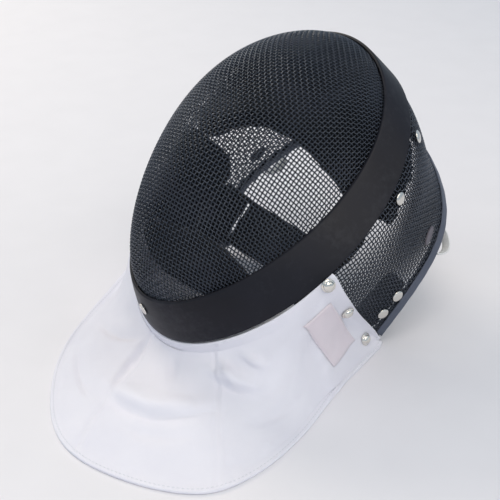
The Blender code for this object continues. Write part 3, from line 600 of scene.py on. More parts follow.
def weaveBothWays(stem, crossings, normals, allowed, node):
    crossings, normals = leanBack(crossings), leanVector(normals)
    upright = wirePiece(stem + "Upright", crossings, normals, allowed, 1)
    level = wirePiece(stem + "Level", crossings.transpose(1, 0, 2), normals.transpose(1, 0, 2),
                      allowed.T, -1)
    for piece in (upright, level):
        finishPiece(piece, "wire", "wire", node)


# how finely the shell is read before its wires are laid
faceGrid = {"turns": 720, "step": 0.0005, "farthest": 0.21, "rings": 300, "crowding": 1.6,
            "lapRings": 50, "lap": (0.01, 0.9)}
sideGrid = {"runs": (-0.06, 1.06, 673), "reaches": (-0.5, 1.0, 301)}


def faceTable(inset):                # the dome by direction and length from its foremost point
    count, step = faceGrid["turns"], faceGrid["step"]
    angles = np.linspace(0, math.tau, count + 1)
    radii = 1 - (1 - np.linspace(0, 1, faceGrid["rings"])) ** faceGrid["crowding"]
    laps = np.linspace(*faceGrid["lap"], faceGrid["lapRings"])
    lines = [domePoint(angles, r, inset, inset - shellForm["meshInset"]) for r in radii]
    lines += [rimPoint(angles, lap, inset) for lap in laps]
    lines = np.stack(lines, 1)
    lengths = runningLength(lines, 1)
    marks = np.arange(0, faceGrid["farthest"], step)
    table = np.stack([[np.interp(marks, length, line[:, k]) for k in range(3)]
                      for length, line in zip(lengths, lines)]).transpose(0, 2, 1)
    rimAt = len(radii) - 1
    turn = np.unwrap(np.arctan2(lines[:, rimAt, 0], lines[:, rimAt, 2] - shellForm["domeApex"]))
    even = np.interp(angles, turn - turn[0], np.arange(count + 1))
    first = np.clip(even.astype(int), 0, count - 1)
    share = (even - first)[:, None, None]
    table = table[first] * (1 - share) + table[first + 1] * share
    rimLength = np.interp(angles, turn - turn[0], lengths[:, rimAt])
    return {"count": count, "step": step, "table": table, "angles": angles, "rim": rimLength}


def faceSurface(face, spots):
    away = np.hypot(spots[..., 0], spots[..., 1])
    turn = np.mod(np.arctan2(spots[..., 0], spots[..., 1]), math.tau) / math.tau * face["count"]
    i = np.minimum(turn.astype(int), face["count"] - 1)
    u = (turn - i)[..., None]
    far = np.minimum(away / face["step"], face["table"].shape[1] - 2.001)
    j = far.astype(int)
    return between(face["table"], i, j, u, (far - j)[..., None])


def faceReach(face, spots):          # how far the rim is from the foremost point, that way
    turn = np.mod(np.arctan2(spots[..., 0], spots[..., 1]), math.tau)
    return np.interp(turn, face["angles"], face["rim"])


def slopes(face, spots):
    e = 1e-4
    return ((faceSurface(face, spots + [e, 0]) - faceSurface(face, spots - [e, 0])) / (2 * e),
            (faceSurface(face, spots + [0, e]) - faceSurface(face, spots - [0, e])) / (2 * e))


def nextCrossing(face, spots, besideA, besideB, pitch):
    # the crossing that lies one pitch from each of its two neighbours, as formed wire does
    for _ in range(wireForm["rounds"]):
        acrossways, upwards = slopes(face, spots)
        point = faceSurface(face, spots)
        a, b = point - besideA, point - besideB
        lengthA, lengthB = np.linalg.norm(a, axis=-1), np.linalg.norm(b, axis=-1)
        missA, missB = lengthA - pitch, lengthB - pitch
        a11, a12 = (a * acrossways).sum(-1) / lengthA, (a * upwards).sum(-1) / lengthA
        a21, a22 = (b * acrossways).sum(-1) / lengthB, (b * upwards).sum(-1) / lengthB
        whole = a11 * a22 - a12 * a21
        whole = np.where(np.abs(whole) < 1e-3, np.sign(whole + 1e-9) * 1e-3, whole)
        move = np.stack([(missB * a12 - missA * a22) / whole,
                         (missA * a21 - missB * a11) / whole], -1)
        most = np.maximum(1, np.linalg.norm(move, axis=-1) / (pitch * 0.5))
        spots = spots + move / most[:, None]
    return spots


def faceNet(face, pitch):
    size, room = wireForm["faceHalf"], wireForm["faceRoom"]
    spots = np.full((2 * size + 1, 2 * size + 1, 2), np.nan)
    spots[size, size] = 0
    for k in range(1, size + 1):
        for i, j in ((1, 0), (-1, 0), (0, 1), (0, -1)):
            spots[size + i * k, size + j * k] = np.array((i, j)) * pitch * k
    for si in (1, -1):
        for sj in (1, -1):
            for d in range(2, 2 * size + 1):
                a = np.arange(max(1, d - size), min(size, d - 1) + 1)
                b = d - a
                besideA = spots[size + si * (a - 1), size + sj * b]
                besideB = spots[size + si * a, size + sj * (b - 1)]
                guess = besideA + besideB - spots[size + si * (a - 1), size + sj * (b - 1)]
                with np.errstate(invalid="ignore"):
                    near = np.linalg.norm(guess, axis=-1) < faceReach(face, guess) + room
                if near.any():
                    spots[size + si * a[near], size + sj * b[near]] = nextCrossing(
                        face, guess[near], faceSurface(face, besideA[near]),
                        faceSurface(face, besideB[near]), pitch)
    return spots


def weaveFace():
    form = wireForm
    inset = shellForm["meshInset"] + shellForm["meshThick"] / 2
    face = faceTable(inset)
    spots = faceNet(face, form["pitch"])
    known = np.isfinite(spots[..., 0])
    filled = np.nan_to_num(spots)
    crossings = faceSurface(face, filled)
    acrossways, upwards = slopes(face, filled)
    normals = unitRows(np.cross(acrossways, upwards))
    if normals[known][:, 1].mean() > 0:
        normals = -normals
    inside = np.linalg.norm(filled, axis=-1) < faceReach(face, filled) + form["underBand"]
    allowed = known & inside
    weaveBothWays("faceWires", crossings, normals, allowed, "front_mesh")


def sideTable(inset):
    runs, reaches = np.linspace(*sideGrid["runs"]), np.linspace(*sideGrid["reaches"])
    table = np.stack([sideLay(runs, np.full(len(runs), r), inset) for r in reaches], 1)
    return runs, reaches, table


def weaveSide():
    form = wireForm
    inset = shellForm["meshInset"] + shellForm["meshThick"] / 2
    runs, reaches, table = sideTable(inset)
    lean = np.array((0.0, 1.0, -form["sideTilt"]))
    level = table @ lean
    startLevel = form["sideStart"] * form["pitch"]
    spots = np.array([(i, indexAt(startLevel, level[i])) for i in range(len(runs))])
    length = runningLength(tableAt(table, spots))
    middle = markAt(len(runs) // 2, length)
    count = int(min(middle, length[-1] - middle) / form["pitch"] - 0.5)
    marks = middle + (np.arange(-count, count) + 0.5) * form["pitch"]
    start = np.stack([np.interp(marks, length, spots[:, k]) for k in (0, 1)], -1)

    def stepFrom(place, rise):
        def climb(at):
            e = 0.25
            alongRun = (tableAt(table, at + [e, 0]) - tableAt(table, at - [e, 0])) / (2 * e)
            alongReach = (tableAt(table, at + [0, e]) - tableAt(table, at - [0, e])) / (2 * e)
            g11, g12, g22 = ((alongRun ** 2).sum(-1), (alongRun * alongReach).sum(-1),
                             (alongReach ** 2).sum(-1))
            f1, f2 = alongRun @ lean, alongReach @ lean
            whole = g11 * g22 - g12 ** 2
            move = np.stack([(g22 * f1 - g12 * f2) / whole, (g11 * f2 - g12 * f1) / whole], -1)
            return move / (move[:, :1] * f1[:, None] + move[:, 1:] * f2[:, None])
        limit = np.array(table.shape[:2]) - 2.0
        held = ((place < 1) | (place > limit)).any(-1, keepdims=True)
        safe = np.where(held, len(reaches) / 2, place)
        half = np.clip(safe + climb(safe) * rise / 2, 1, limit)
        return np.where(held, place, safe + climb(half) * rise)

    rows = {0: start}
    for way, count in zip((-1, 1), form["sideLevels"]):
        place = start
        for k in range(1, count):
            place = stepFrom(place, way * form["pitch"])
            rows[way * k] = place
    spots = np.stack([rows[k] for k in sorted(rows)])       # wires of one family by the other
    crossings = tableAt(table, spots)
    e = 0.5
    alongRun = tableAt(table, spots + [e, 0]) - tableAt(table, spots - [e, 0])
    alongReach = tableAt(table, spots + [0, e]) - tableAt(table, spots - [0, e])
    normals = unitRows(np.cross(alongReach, alongRun))
    runAt, reachAt = markAt(spots[..., 0], runs), markAt(spots[..., 1], reaches)
    depth = np.linalg.norm(trimCurve(runAt) - rimPoint(
        shellForm["sideAngle"] * (1 - 2 * runAt), 1.0, inset), axis=-1)
    allowed = ((runAt > form["jawEdge"]) & (runAt < 1 - form["jawEdge"])
               & (reachAt * depth > -form["sideUnder"])
               & (reachAt < 1 - form["trimSlot"] / depth)
               & (spots[..., 1] > 1) & (spots[..., 1] < len(reaches) - 1.5))
    weaveBothWays("sideWires", crossings, normals, allowed, "side_mesh")


weaveFace()
weaveSide()
print("wire woven")


# band and rear trim
bandForm = {"stations": 300, "bulge": 0.0005, "edgeRound": 0.0009, "ripple": 0.00010,
            "waves": ((1.0, 11, 0.6), (0.6, 23, 2.0))}   # share, count round the band, turn
trimForm = {"width": 0.0080, "leg": 0.0012, "slot": 0.0023, "room": 0.0006, "start": 0.010,
            "stations": 220, "edgeRound": 0.0007, "swell": (0.00012, 190)}


def roundedProfile(corners, radius, steps=4, most=0.45):     # corners of a closed outline, eased
    corners = np.asarray(corners, float)
    made = []
    for i in range(len(corners)):
        before, here, after = corners[i - 1], corners[i], corners[(i + 1) % len(corners)]
        toBefore, toAfter = before - here, after - here
        reach = min(radius, np.linalg.norm(toBefore) * most, np.linalg.norm(toAfter) * most)
        a, b = here + unitRows(toBefore) * reach, here + unitRows(toAfter) * reach
        for t in np.linspace(0, 1, steps):
            made.append(a * (1 - t) ** 2 + here * 2 * t * (1 - t) + b * t ** 2)
    return np.array(made)


def makeBand():
    form = bandForm
    thick = shellForm["bandThick"]
    angles = np.arange(form["stations"]) * math.tau / form["stations"]
    depth = roundTerms(shellForm["bandDepth"], angles)
    outline = [(0.0, thick), (0.0, 0.0), (0.25, -form["bulge"] * 0.75), (0.5, -form["bulge"]),
               (0.75, -form["bulge"] * 0.75), (1.0, 0.0), (1.0, thick), (0.5, thick)]
    rings = []
    for angle, length in zip(angles, depth):
        flat = np.array([(across * length, inset) for across, inset in outline])
        eased = roundedProfile(flat, form["edgeRound"])
        wave = form["ripple"] * sum(share * math.sin(angle * count + turn)
                                    for share, count, turn in form["waves"])
        soft = np.sin(np.clip(eased[:, 0] / length, 0, 1) * math.pi)
        inset = eased[:, 1] - wave * soft * (eased[:, 1] < thick * 0.5)
        rings.append(rimPoint(np.full(len(eased), angle), eased[:, 0] / length, inset))
    band = sweptPiece("rimBand", leanBack(np.array(rings)), closed=True)
    finishPiece(band, "band", "band", "rim_band")


def makeTrim():
    form = trimForm
    leg = form["room"] + form["leg"]
    inner = -shellForm["meshThick"] - form["room"]
    outline = [(form["width"], form["room"]), (form["width"], leg), (0.0, leg),
               (0.0, inner - form["leg"]), (form["width"], inner - form["leg"]),
               (form["width"], inner), (form["slot"], inner), (form["slot"], form["room"])]
    eased = roundedProfile(outline, form["edgeRound"])
    height, rate = form["swell"]
    rings = []
    for run in np.linspace(form["start"], 1 - form["start"], form["stations"]):
        length = np.linalg.norm(sidePoint(run, 1.0)[0] - sidePoint(run, 0.0)[0])
        swell = height * math.sin(run * rate)
        lifts = eased[:, 1] + swell * (eased[:, 1] > 0)
        rings.append(sidePoint(np.full(len(eased), run), 1.0 - eased[:, 0] / length, lifts))
    trim = sweptPiece("rearTrim", leanBack(np.array(rings)))
    finishPiece(trim, "trim", "trim", "rear_trim")


makeBand()
makeTrim()
print("band and trim made")


# rivets, press studs and oval anchors
rivetForm = {
    "radius": 0.0052, "height": 0.0018, "sides": 32,
    "steps": ((0.0, 0.22), (0.035, 0.16), (0.09, 0.20), (0.16, 0.20), (0.22, 0.14), (0.24, 0.06),
              (0.16, 0.02)),         # inset as a share of the radius, rise as one of the height
    "chin": (math.radians(186.5), 0.48),
    "band": {"upper": (0.281, 0.125), "lower": (0.187, 0.115)},       # run and reach
    "turn": 0.11, "bandLift": 0.0022,          # the band's rivets face a little to the back
    "corner": {"upper": (0.085, 0.875), "lower": (0.045, 0.868)},
}
studForm = {
    "radius": 0.0056, "height": 0.0036, "sides": 32,
    "steps": ((0.0, 0.16), (0.05, 0.05), (0.13, 0.0), (0.05, 0.16), (0.04, 0.14), (0.07, 0.18),
              (0.12, 0.16), (0.16, 0.10), (0.20, 0.05)),
    "lift": 0.0020, "places": ((6.02, 0.095), (4.06, 0.17), (2.47, 0.57)),   # row and share
}
anchorForm = {
    "radius": 0.0092, "halfWidth": 0.0040, "height": 0.0014, "sides": 40,
    "steps": ((0.0, 0.5), (0.03, 0.3), (0.06, 0.2), (0.10, -0.15)),
    "run": 0.200, "reach": 0.805,
}
shankForm = {"radius": 0.34, "sides": 20, "overlap": 0.0002}  # radius as a share of the head's
bothSides = (("left", 1), ("right", -1))


def domedHead(name, form):           # a short cylinder whose top is inset and raised in steps
    deselectAll()
    radius, rise = form["radius"], form["steps"][0][1] * form["height"]
    bpy.ops.mesh.primitive_cylinder_add(vertices=form["sides"], radius=radius, depth=rise,
                                        location=(0, 0, rise / 2))
    head = bpy.context.object
    head.name = name
    bpy.ops.object.transform_apply(location=True, rotation=False, scale=False)
    bpy.ops.object.mode_set(mode="EDIT")
    bpy.ops.mesh.select_mode(type="FACE")
    bpy.ops.mesh.select_all(action="DESELECT")
    work = bmesh.from_edit_mesh(head.data)
    work.faces.ensure_lookup_table()
    for face in work.faces:
        face.select_set(face.normal.z > 0.9)
    bmesh.update_edit_mesh(head.data)
    for inset, lift in form["steps"][1:]:
        bpy.ops.mesh.inset(thickness=inset * radius, depth=0.0, use_even_offset=True)
        bpy.ops.transform.translate(value=(0, 0, lift * form["height"]))
    bpy.ops.object.mode_set(mode="OBJECT")
    return head


def shankUnder(head, radius, depth):
    deselectAll()
    form = shankForm
    bpy.ops.mesh.primitive_cylinder_add(vertices=form["sides"], radius=radius * form["radius"],
                                        depth=depth,
                                        location=(0, 0, form["overlap"] - depth / 2))
    bpy.ops.object.transform_apply(location=True, rotation=False, scale=False)
    head.select_set(True)
    bpy.context.view_layer.objects.active = head
    bpy.ops.object.join()


def partName(node):                  # chin_rivet becomes chinRivet
    first, *rest = node.split("_")
    return first + "".join(word.capitalize() for word in rest)


def setPiece(model, node, matrix, paint, slot):
    piece = copyPiece(model, partName(node))
    placePiece(piece, matrix)
    finishPiece(piece, paint, slot, node)


def mirrored(vector, flip):
    return np.asarray(vector) * (flip, 1, 1)


def setOnShell(model, node, flip, places, paint, slot):     # places: seat, normal and along
    seat, normal, along = (mirrored(place, flip) for place in places)
    matrix = seatMatrix(leanBack(seat), leanVector(normal), leanVector(along))
    setPiece(model, node, matrix, paint, slot)


def makeRivets():
    form, gap = rivetForm, shellForm["gap"]
    plain = domedHead("rivetHead", form)
    tall = copyPiece(plain, "rivetHeadTall")
    shankUnder(tall, form["radius"], form["bandLift"] - gap * 1.5 + shankForm["overlap"])
    angle, across = form["chin"]
    centre = rimPoint(angle, across)
    ahead, back = rimPoint(angle + 0.01, across) - centre, rimPoint(angle, across + 0.01) - centre
    normal = unitRows(np.cross(ahead, back))
    seat = centre + normal * (bandForm["bulge"] + gap)
    setOnShell(plain, "chin_rivet", 1, (seat, normal, back), "rivet", "rivet")
    kinds = (("band", tall, form["bandLift"], form["turn"]), ("corner", plain, gap * 2, 0.0))
    for side, flip in bothSides:
        for kind, model, lift, turn in kinds:
            for height, (run, reach) in form[kind].items():
                centre, normal, back = sideFrame(run, reach)
                facing = sideFrame(run, reach + turn)[1]
                setOnShell(model, "%s_rivet_%s_%s" % (kind, side, height), flip,
                           (centre + normal * lift, facing, back), "rivet", "rivet")
    for model in (plain, tall):
        bpy.data.objects.remove(model)


def makeAnchors():
    form = anchorForm
    model = domedHead("anchorPlate", form)
    model.data.transform(Matrix.Diagonal((1.0, form["halfWidth"] / form["radius"], 1.0, 1.0)))
    centre, normal, back = sideFrame(form["run"], form["reach"])
    places = centre + normal * shellForm["gap"] * 1.5, normal, np.cross(normal, back)
    for side, flip in bothSides:
        setOnShell(model, "oval_anchor_" + side, flip, places, "plastic", "plastic")
    bpy.data.objects.remove(model)


makeRivets()
makeAnchors()
print("rivets and anchors set")


# bib
bibForm = {
    "cloth": 0.0022, "room": 0.0009, "start": 0.0022, "lap": 0.0090, "leastReach": 0.026,
    "leaveRun": 0.5, "lapRows": 3, "fallRows": 9, "hemFlat": 0.0090, "hemShare": 0.25,
    "shoulder": (0.66, 0.012, 0.05), "flatPlace": 0.55, "flatLift": 0.45,
    "foldEnds": 0.05, "foldTurn": 0.9, "foldsFrom": (0.26, 0.10), "bridge": (6.8, 8.8),
    "corner": 0.011, "bend": (0.38, 0.26, 110), "low": 0.3, "columnsEach": 14, "rowsDown": 96,
}
# a row for each section from the left tab's corner round the chin to the right one:
# angle from the top, reach and leave on the side mesh, hem on the floor in mm,
# share that lies nearly flat, height at the crease in mm
bibRows = (
    (119.0, 1.00, 1.00, 106, 61, 0.08, 1), (117.6, 0.93, 0.94, 108, 54, 0.08, 1),
    (115.6, 0.80, 0.83, 111, 43, 0.08, 1), (112.4, 0.62, 0.67, 115, 28, 0.10, 2),
    (108.6, 0.42, 0.49, 119, 13, 0.12, 3), (105.8, 0.22, 0.31, 123, -3, 0.14, 4),
    (104.4, 0.02, 0.15, 128, -17, 0.20, 6), (111.0, 0.02, 0.11, 134, -35, 0.20, 6),
    (120.0, 0.02, 0.08, 143, -58, 0.22, 6), (133.0, 0.02, 0.08, 155, -102, 0.30, 7),
    (145.0, 0.02, 0.08, 158, -138, 0.38, 8), (156.0, 0.02, 0.08, 150, -171, 0.44, 8),
    (167.0, 0.02, 0.08, 121, -197, 0.50, 8), (178.0, 0.02, 0.08, 86, -213, 0.54, 7),
    (189.0, 0.02, 0.08, 50, -220, 0.52, 7), (200.0, 0.02, 0.08, 12, -212, 0.50, 7),
    (211.0, 0.02, 0.08, -30, -187, 0.46, 7), (222.0, 0.02, 0.08, -72, -147, 0.40, 7),
    (233.0, 0.02, 0.08, -110, -88, 0.30, 6), (240.0, 0.02, 0.08, -140, -34, 0.22, 6),
    (249.0, 0.02, 0.11, -155, -8, 0.20, 6), (255.6, 0.02, 0.15, -157, 8, 0.20, 6),
    (254.2, 0.22, 0.31, -150, 20, 0.14, 4), (251.4, 0.42, 0.49, -141, 30, 0.12, 3),
    (247.6, 0.62, 0.67, -130, 40, 0.10, 2), (244.4, 0.80, 0.83, -119, 49, 0.08, 1),
    (242.4, 0.93, 0.94, -111, 56, 0.08, 1), (241.0, 1.00, 1.00, -106, 61, 0.08, 1),
)
# each fold: its line in rows and shares, then its height, its reach above the line and its
# reach below the line, in mm
bibFolds = (
    (((14.1, 0.60), (12.9, 0.605), (12.0, 0.585), (11.2, 0.55)), 6.6, 15.0, 3.5),
    (((14.1, 0.65), (12.9, 0.655), (12.0, 0.63), (11.3, 0.595)), -2.0, 3.0, 5.0),
    (((10.9, 0.33), (10.2, 0.42), (9.4, 0.50)), 6.8, 10.0, 3.6),
    (((10.8, 0.38), (10.1, 0.465), (9.4, 0.54)), -2.0, 3.0, 4.5),
    (((9.1, 0.58), (8.6, 0.53), (8.2, 0.47)), -2.0, 8.0, 6.0),
    (((16.6, 0.62), (15.4, 0.44), (14.3, 0.30)), -3.4, 7.0, 3.0),
    (((13.95, 0.27), (14.2, 0.45), (14.1, 0.60)), -4.8, 3.6, 3.6),
    (((10.5, 0.27), (10.2, 0.42)), 5.0, 4.5, 2.6),
    (((9.8, 0.27), (9.2, 0.40)), 4.8, 4.5, 2.6),
    (((12.5, 0.27), (12.3, 0.42)), -3.4, 5.0, 5.0),
    (((14.6, 0.72), (16.4, 0.80)), -2.6, 7.0, 3.0),
    (((9.6, 0.70), (8.2, 0.74)), -2.6, 8.0, 4.0),
    (((13.0, 0.74), (11.6, 0.71)), -2.0, 8.0, 5.0),
)
seamForm = {
    "seams": (((13.9, 0.24), (14.1, 0.62), (13.9, 0.955)),
              ((10.5, 0.10), (10.75, 0.40), (10.75, 0.62), (10.75, 0.955))),
    "groove": 0.00110, "width": 0.0016, "ridge": 0.00045, "ridgeOff": 0.0030, "ridgeWide": 1.3,
    "side": (1.0, -0.4, 0.0),        # the ridge lies on this side of each seam
}
hemForm = {"fold": 0.0052, "thicker": 0.00035, "groove": 0.00045, "grooveWidth": 0.0009,
           "inset": 0.0009, "stitch": (0.0024, 0.0011, 0.00032),    # length, gap, thread
           "from": 0.03, "thinnest": 0.02, "inside": 0.6}
wrinkleForm = {"sizes": ((0.055, 0.0026), (0.026, 0.00140), (0.012, 0.00042)), "seed": 7.3,
               "shift": (900, 3.1), "from": (0.27, 0.15), "hemCalm": 0.015}


def bibTableAt(columns):
    table = np.array(bibRows, float)
    read = naturalCurve(table, np.asarray(columns) / (len(table) - 1), byLength=False)
    names = ("angle", "reach", "leave", "hemX", "hemY", "brim", "lift")
    return {name: read[..., i] for i, name in enumerate(names)}


def bibMiddle(columns, shares):
    form = bibForm
    columns, shares = np.asarray(columns, float), np.asarray(shares, float)
    read = bibTableAt(columns)
    lift = form["room"] + form["cloth"] / 2
    hemHeight = form["cloth"] / 2
    lastRow = form["lapRows"] + form["fallRows"]
    lapEnd, landingAt = form["lapRows"] / lastRow, (lastRow - 1) / lastRow
    lines = []
    for i in range(len(columns)):
        angle = math.radians(read["angle"][i])
        mirror = 1 if angle < math.pi else -1
        fromTop = angle if mirror > 0 else math.tau - angle
        run = (1 - fromTop / shellForm["sideAngle"]) / 2
        reach = max(read["reach"][i], form["leastReach"])
        leave = read["leave"][i]
        k = np.append(np.clip(shares[shares < lapEnd] / lapEnd, 0, 1), (2 / 3, 1.0))
        if run > 0:
            lap = sidePoint(run * (1 - k * form["leaveRun"]), reach + (leave - reach) * k,
                            np.full(len(k), lift))
        else:
            ahead = rimPoint(fromTop, 1.0, shellForm["meshInset"] - lift)
            slope = unitRows(ahead - rimPoint(fromTop, 0.9, shellForm["meshInset"] - lift))
            lap = ahead + slope * (form["start"] + form["lap"] * k)[:, None]
        lap = leanBack(lap * (mirror, 1, 1)) - (0, shellForm["centreY"], 0)
        hem = np.array((read["hemX"][i] / 1000, read["hemY"][i] / 1000, hemHeight))
        start, before = lap[-1], lap[-2]
        inward = (start - hem) * (1, 1, 0)
        room = np.linalg.norm(inward)
        landing = hem + inward / room * min(form["hemFlat"], room * form["hemShare"])
        brim, liftHere = read["brim"][i], read["lift"][i] / 1000
        crease = start * brim + landing * (1 - brim)
        crease[2] = min(start[2] * 0.7, hemHeight + liftHere)
        slack = unitRows(start - before)
        place, proud, height = form["shoulder"]
        shoulder = start * place + crease * (1 - place)
        shoulder = shoulder + slack * proud * min(1.0, start[2] / height)
        flat = crease * (1 - form["flatPlace"]) + landing * form["flatPlace"]
        flat[2] = hemHeight + liftHere * form["flatLift"]
        falling = shares[(shares >= lapEnd) & (shares <= landingAt)]
        fall = naturalCurve([start, shoulder, crease, flat, landing],
                            (falling - lapEnd) / (landingAt - lapEnd))
        fall[:, 2] = np.maximum(fall[:, 2], hemHeight)
        last = ((shares[shares > landingAt] - landingAt) / (1 - landingAt))[:, None]
        lines.append(np.concatenate([lap[:-2], fall, landing * (1 - last) + hem * last]))
    return np.array(lines).transpose(1, 0, 2) + (0, shellForm["centreY"], 0)


def foldHeight(grid, columns, shares):
    down = unitRows(np.gradient(grid, axis=0))
    total = np.zeros(grid.shape[:2])
    ends, turn = bibForm["foldEnds"], bibForm["foldTurn"]
    for spots, height, above, below in bibFolds:
        path = seamPath(grid, columns, shares, spots)
        distance, beside, place = nearLine(grid, path, down)
        bell = np.sin(np.clip(place, ends, 1 - ends) * math.pi) ** 0.5
        uphill = np.clip(0.5 - turn * beside / np.maximum(distance, 1e-6), 0, 1)
        width = (below + (above - below) * uphill) / 1000
        total += height / 1000 * bell * np.exp(-(distance / width) ** 2)
    return total


def gridNormals(grid):
    down, along = np.gradient(grid, axis=0), np.gradient(grid, axis=1)
    return unitRows(np.cross(along, down))


def easedSteps(edge, count):         # shares from 0 to 1, closer at both ends
    near = edge * np.array((0, 0.15, 0.45, 1))
    return np.unique(np.concatenate([near, np.linspace(0, 1, count)[1:-1], 1 - near]))


def nearLine(grid, path, side):       # distance from a line, on which side, and how far along it
    best = np.full(grid.shape[:2], 1.0)
    beside, place = np.zeros(grid.shape[:2]), np.zeros(grid.shape[:2])
    for number, (a, b) in enumerate(zip(path, path[1:])):
        run = b - a
        along = np.clip(((grid - a) @ run) / (run @ run), 0, 1)
        away = grid - a - along[..., None] * run
        length = np.linalg.norm(away, axis=-1)
        closer = length < best
        best = np.where(closer, length, best)
        beside = np.where(closer, (away * side).sum(-1), beside)
        place = np.where(closer, (number + along) / (len(path) - 1), place)
    return best, beside, place


def wrinkleHeight(grid):
    total = np.zeros(grid.shape[:2])
    flat = grid.reshape(-1, 3)
    rate, place = wrinkleForm["shift"]
    for size, height in wrinkleForm["sizes"]:
        offset = Vector((wrinkleForm["seed"], size * rate, place))
        values = [noise.noise(Vector(point) / size + offset) for point in flat]
        total += np.array(values).reshape(grid.shape[:2]) * height
    return total


def sheetArea(grid):
    a, b = grid[1:, 1:] - grid[:-1, :-1], grid[1:, :-1] - grid[:-1, 1:]
    return float(np.linalg.norm(np.cross(a, b), axis=-1).sum() / 2)


def bridgeJaws(grid, columns):       # one curve across the rows where each tab meets the skirt
    first, last = bibForm["bridge"]
    grid = grid.copy()
    for turn in (1, -1):
        rows, side = (columns, grid) if turn > 0 else (columns[-1] - columns[::-1], grid[:, ::-1])
        a, b = np.searchsorted(rows, first), np.searchsorted(rows, last)
        reach = rows[b] - rows[a]
        t = ((rows[a:b + 1] - rows[a]) / reach)[:, None]
        leave = (side[:, a] - side[:, a - 3]) / (rows[a] - rows[a - 3]) * reach
        arrive = (side[:, b + 3] - side[:, b]) / (rows[b + 3] - rows[b]) * reach
        side[:, a:b + 1] = hermite(t, side[:, a, None], leave[:, None], side[:, b, None],
                                   arrive[:, None])
    return grid


def smoothTabs(grid, columns, shares):   # softens the bend down each tab
    place, room, steps = bibForm["bend"]
    soft = grid.copy()
    for _ in range(steps):
        soft[1:-1] = (soft[:-2] + soft[1:-1] * 2 + soft[2:]) / 4
    near = np.clip(1.5 - np.abs(shares - place) / room * 1.5, 0, 1)
    tab = np.clip((bibForm["bridge"][1] - np.minimum(columns, columns[-1] - columns)) / 2, 0, 1)
    share = (near[:, None] * tab[None, :])[..., None]
    return grid * (1 - share) + soft * share


def roundCorners(grid, radius):      # the two free corners at the hem, squares drawn in to arcs
    down, along = unitRows(np.gradient(grid, axis=0)), unitRows(np.gradient(grid, axis=1))
    toHem = np.linalg.norm(grid[-1:] - grid, axis=-1)
    moved = grid.copy()
    for end, outward in ((0, -along), (-1, along)):
        toEnd = np.linalg.norm(grid[:, end:][:, :1] - grid, axis=-1)
        u, v = np.clip(1 - toEnd / radius, 0, 1), np.clip(1 - toHem / radius, 0, 1)
        moved += outward * (u * (np.sqrt(1 - v * v / 2) - 1) * radius)[..., None]
        moved += down * (v * (np.sqrt(1 - u * u / 2) - 1) * radius)[..., None]
    return moved


def bibCoat():
    # the cloth's middle with its folds, and its normals, on a fine grid
    lastRow = len(bibRows) - 1
    columns = easedSteps(0.006, lastRow * bibForm["columnsEach"] + 1) * lastRow
    shares = easedSteps(0.012, bibForm["rowsDown"])
    middle = bridgeJaws(bibMiddle(columns, shares), columns)
    normals = gridNormals(middle)
    middle = roundCorners(smoothTabs(middle, columns, shares), bibForm["corner"])
    first, fade = bibForm["foldsFrom"]
    soft = np.clip((shares - first) / fade, 0, 1)[:, None]
    folds = foldHeight(middle, columns, shares) * soft
    middle = middle + normals * folds[..., None]
    return columns, shares, middle, gridNormals(middle)


def seamPath(grid, columns, shares, spots, count=60):
    rows, down = naturalCurve(np.array(spots), np.linspace(0, 1, count)).T
    return tableAt(grid, np.stack([indexAt(down, shares), indexAt(rows, columns)], -1))


def makeBib():
    form, hem, seam, wrinkle = bibForm, hemForm, seamForm, wrinkleForm
    half = form["cloth"] / 2
    columns, shares, middle, normals = bibCoat()
    toHem = runningLength(middle[::-1])[::-1]
    downTop, fromLeft = runningLength(middle), runningLength(middle, 1)
    border = np.minimum(toHem, np.minimum(fromLeft, fromLeft[:, -1:] - fromLeft))
    detail = hem["thicker"] * (border < hem["fold"])
    beyond = (border - hem["fold"] + hem["inset"]) / hem["grooveWidth"]
    detail -= hem["groove"] * np.exp(-beyond ** 2)
    for spots in seam["seams"]:
        path = seamPath(middle, columns, shares, spots)
        distance, beside, _ = nearLine(middle, path, np.array(seam["side"]))
        detail -= seam["groove"] * np.exp(-(distance / seam["width"]) ** 2)
        ridgeWidth = seam["width"] * seam["ridgeWide"]
        ridge = np.exp(-((distance - seam["ridgeOff"]) / ridgeWidth) ** 2)
        detail += seam["ridge"] * ridge * (beside > 0)
    first, fade = wrinkle["from"]
    calm = np.clip((shares - first) / fade, 0, 1)[:, None]
    detail += wrinkleHeight(middle) * calm * np.clip(toHem / wrinkle["hemCalm"], 0, 1)
    edge = np.minimum(np.minimum(border, downTop) / half, 1.0)
    rounded = half * np.sqrt(np.clip(1 - (1 - edge) ** 2, hem["thinnest"], 1))
    outer = middle + normals * (rounded + detail)[..., None]
    inner = middle - normals * (rounded - detail * hem["inside"])[..., None]
    low = shares > form["low"]
    inner[low, :, 2] = np.maximum(inner[low, :, 2], 0.0)
    flatHem = shares >= 1 - 1 / (form["lapRows"] + form["fallRows"])
    inner[flatHem, :, 2] = half - rounded[flatHem]
    outer[low, :, 2] = np.maximum(outer[low, :, 2], rounded[low])
    points, quads = sheetSolid(outer, inner)
    uv = np.stack([fromLeft - fromLeft[:, -1:] / 2, -downTop], -1).reshape(-1, 2)
    cloth = pieceFromArrays("bibCloth", points, quads, np.concatenate([uv, uv]))
    finishPiece(cloth, "cloth", "cloth", "bib")
    print("bib cloth area", round(sheetArea(middle), 4), "m2, across",
          round(float(fromLeft[-30].max()), 3), "down", round(float(downTop[-1].max()), 3))
    return cloth, middle, normals, columns, shares, outer


stitchProfile = ((0.0, 0.25, -0.7), (0.12, 0.8, -0.05), (0.5, 1.0, 0.35), (0.88, 0.8, -0.05),
                 (1.0, 0.25, -0.7))  # share of its length, size and rise as shares of its radius


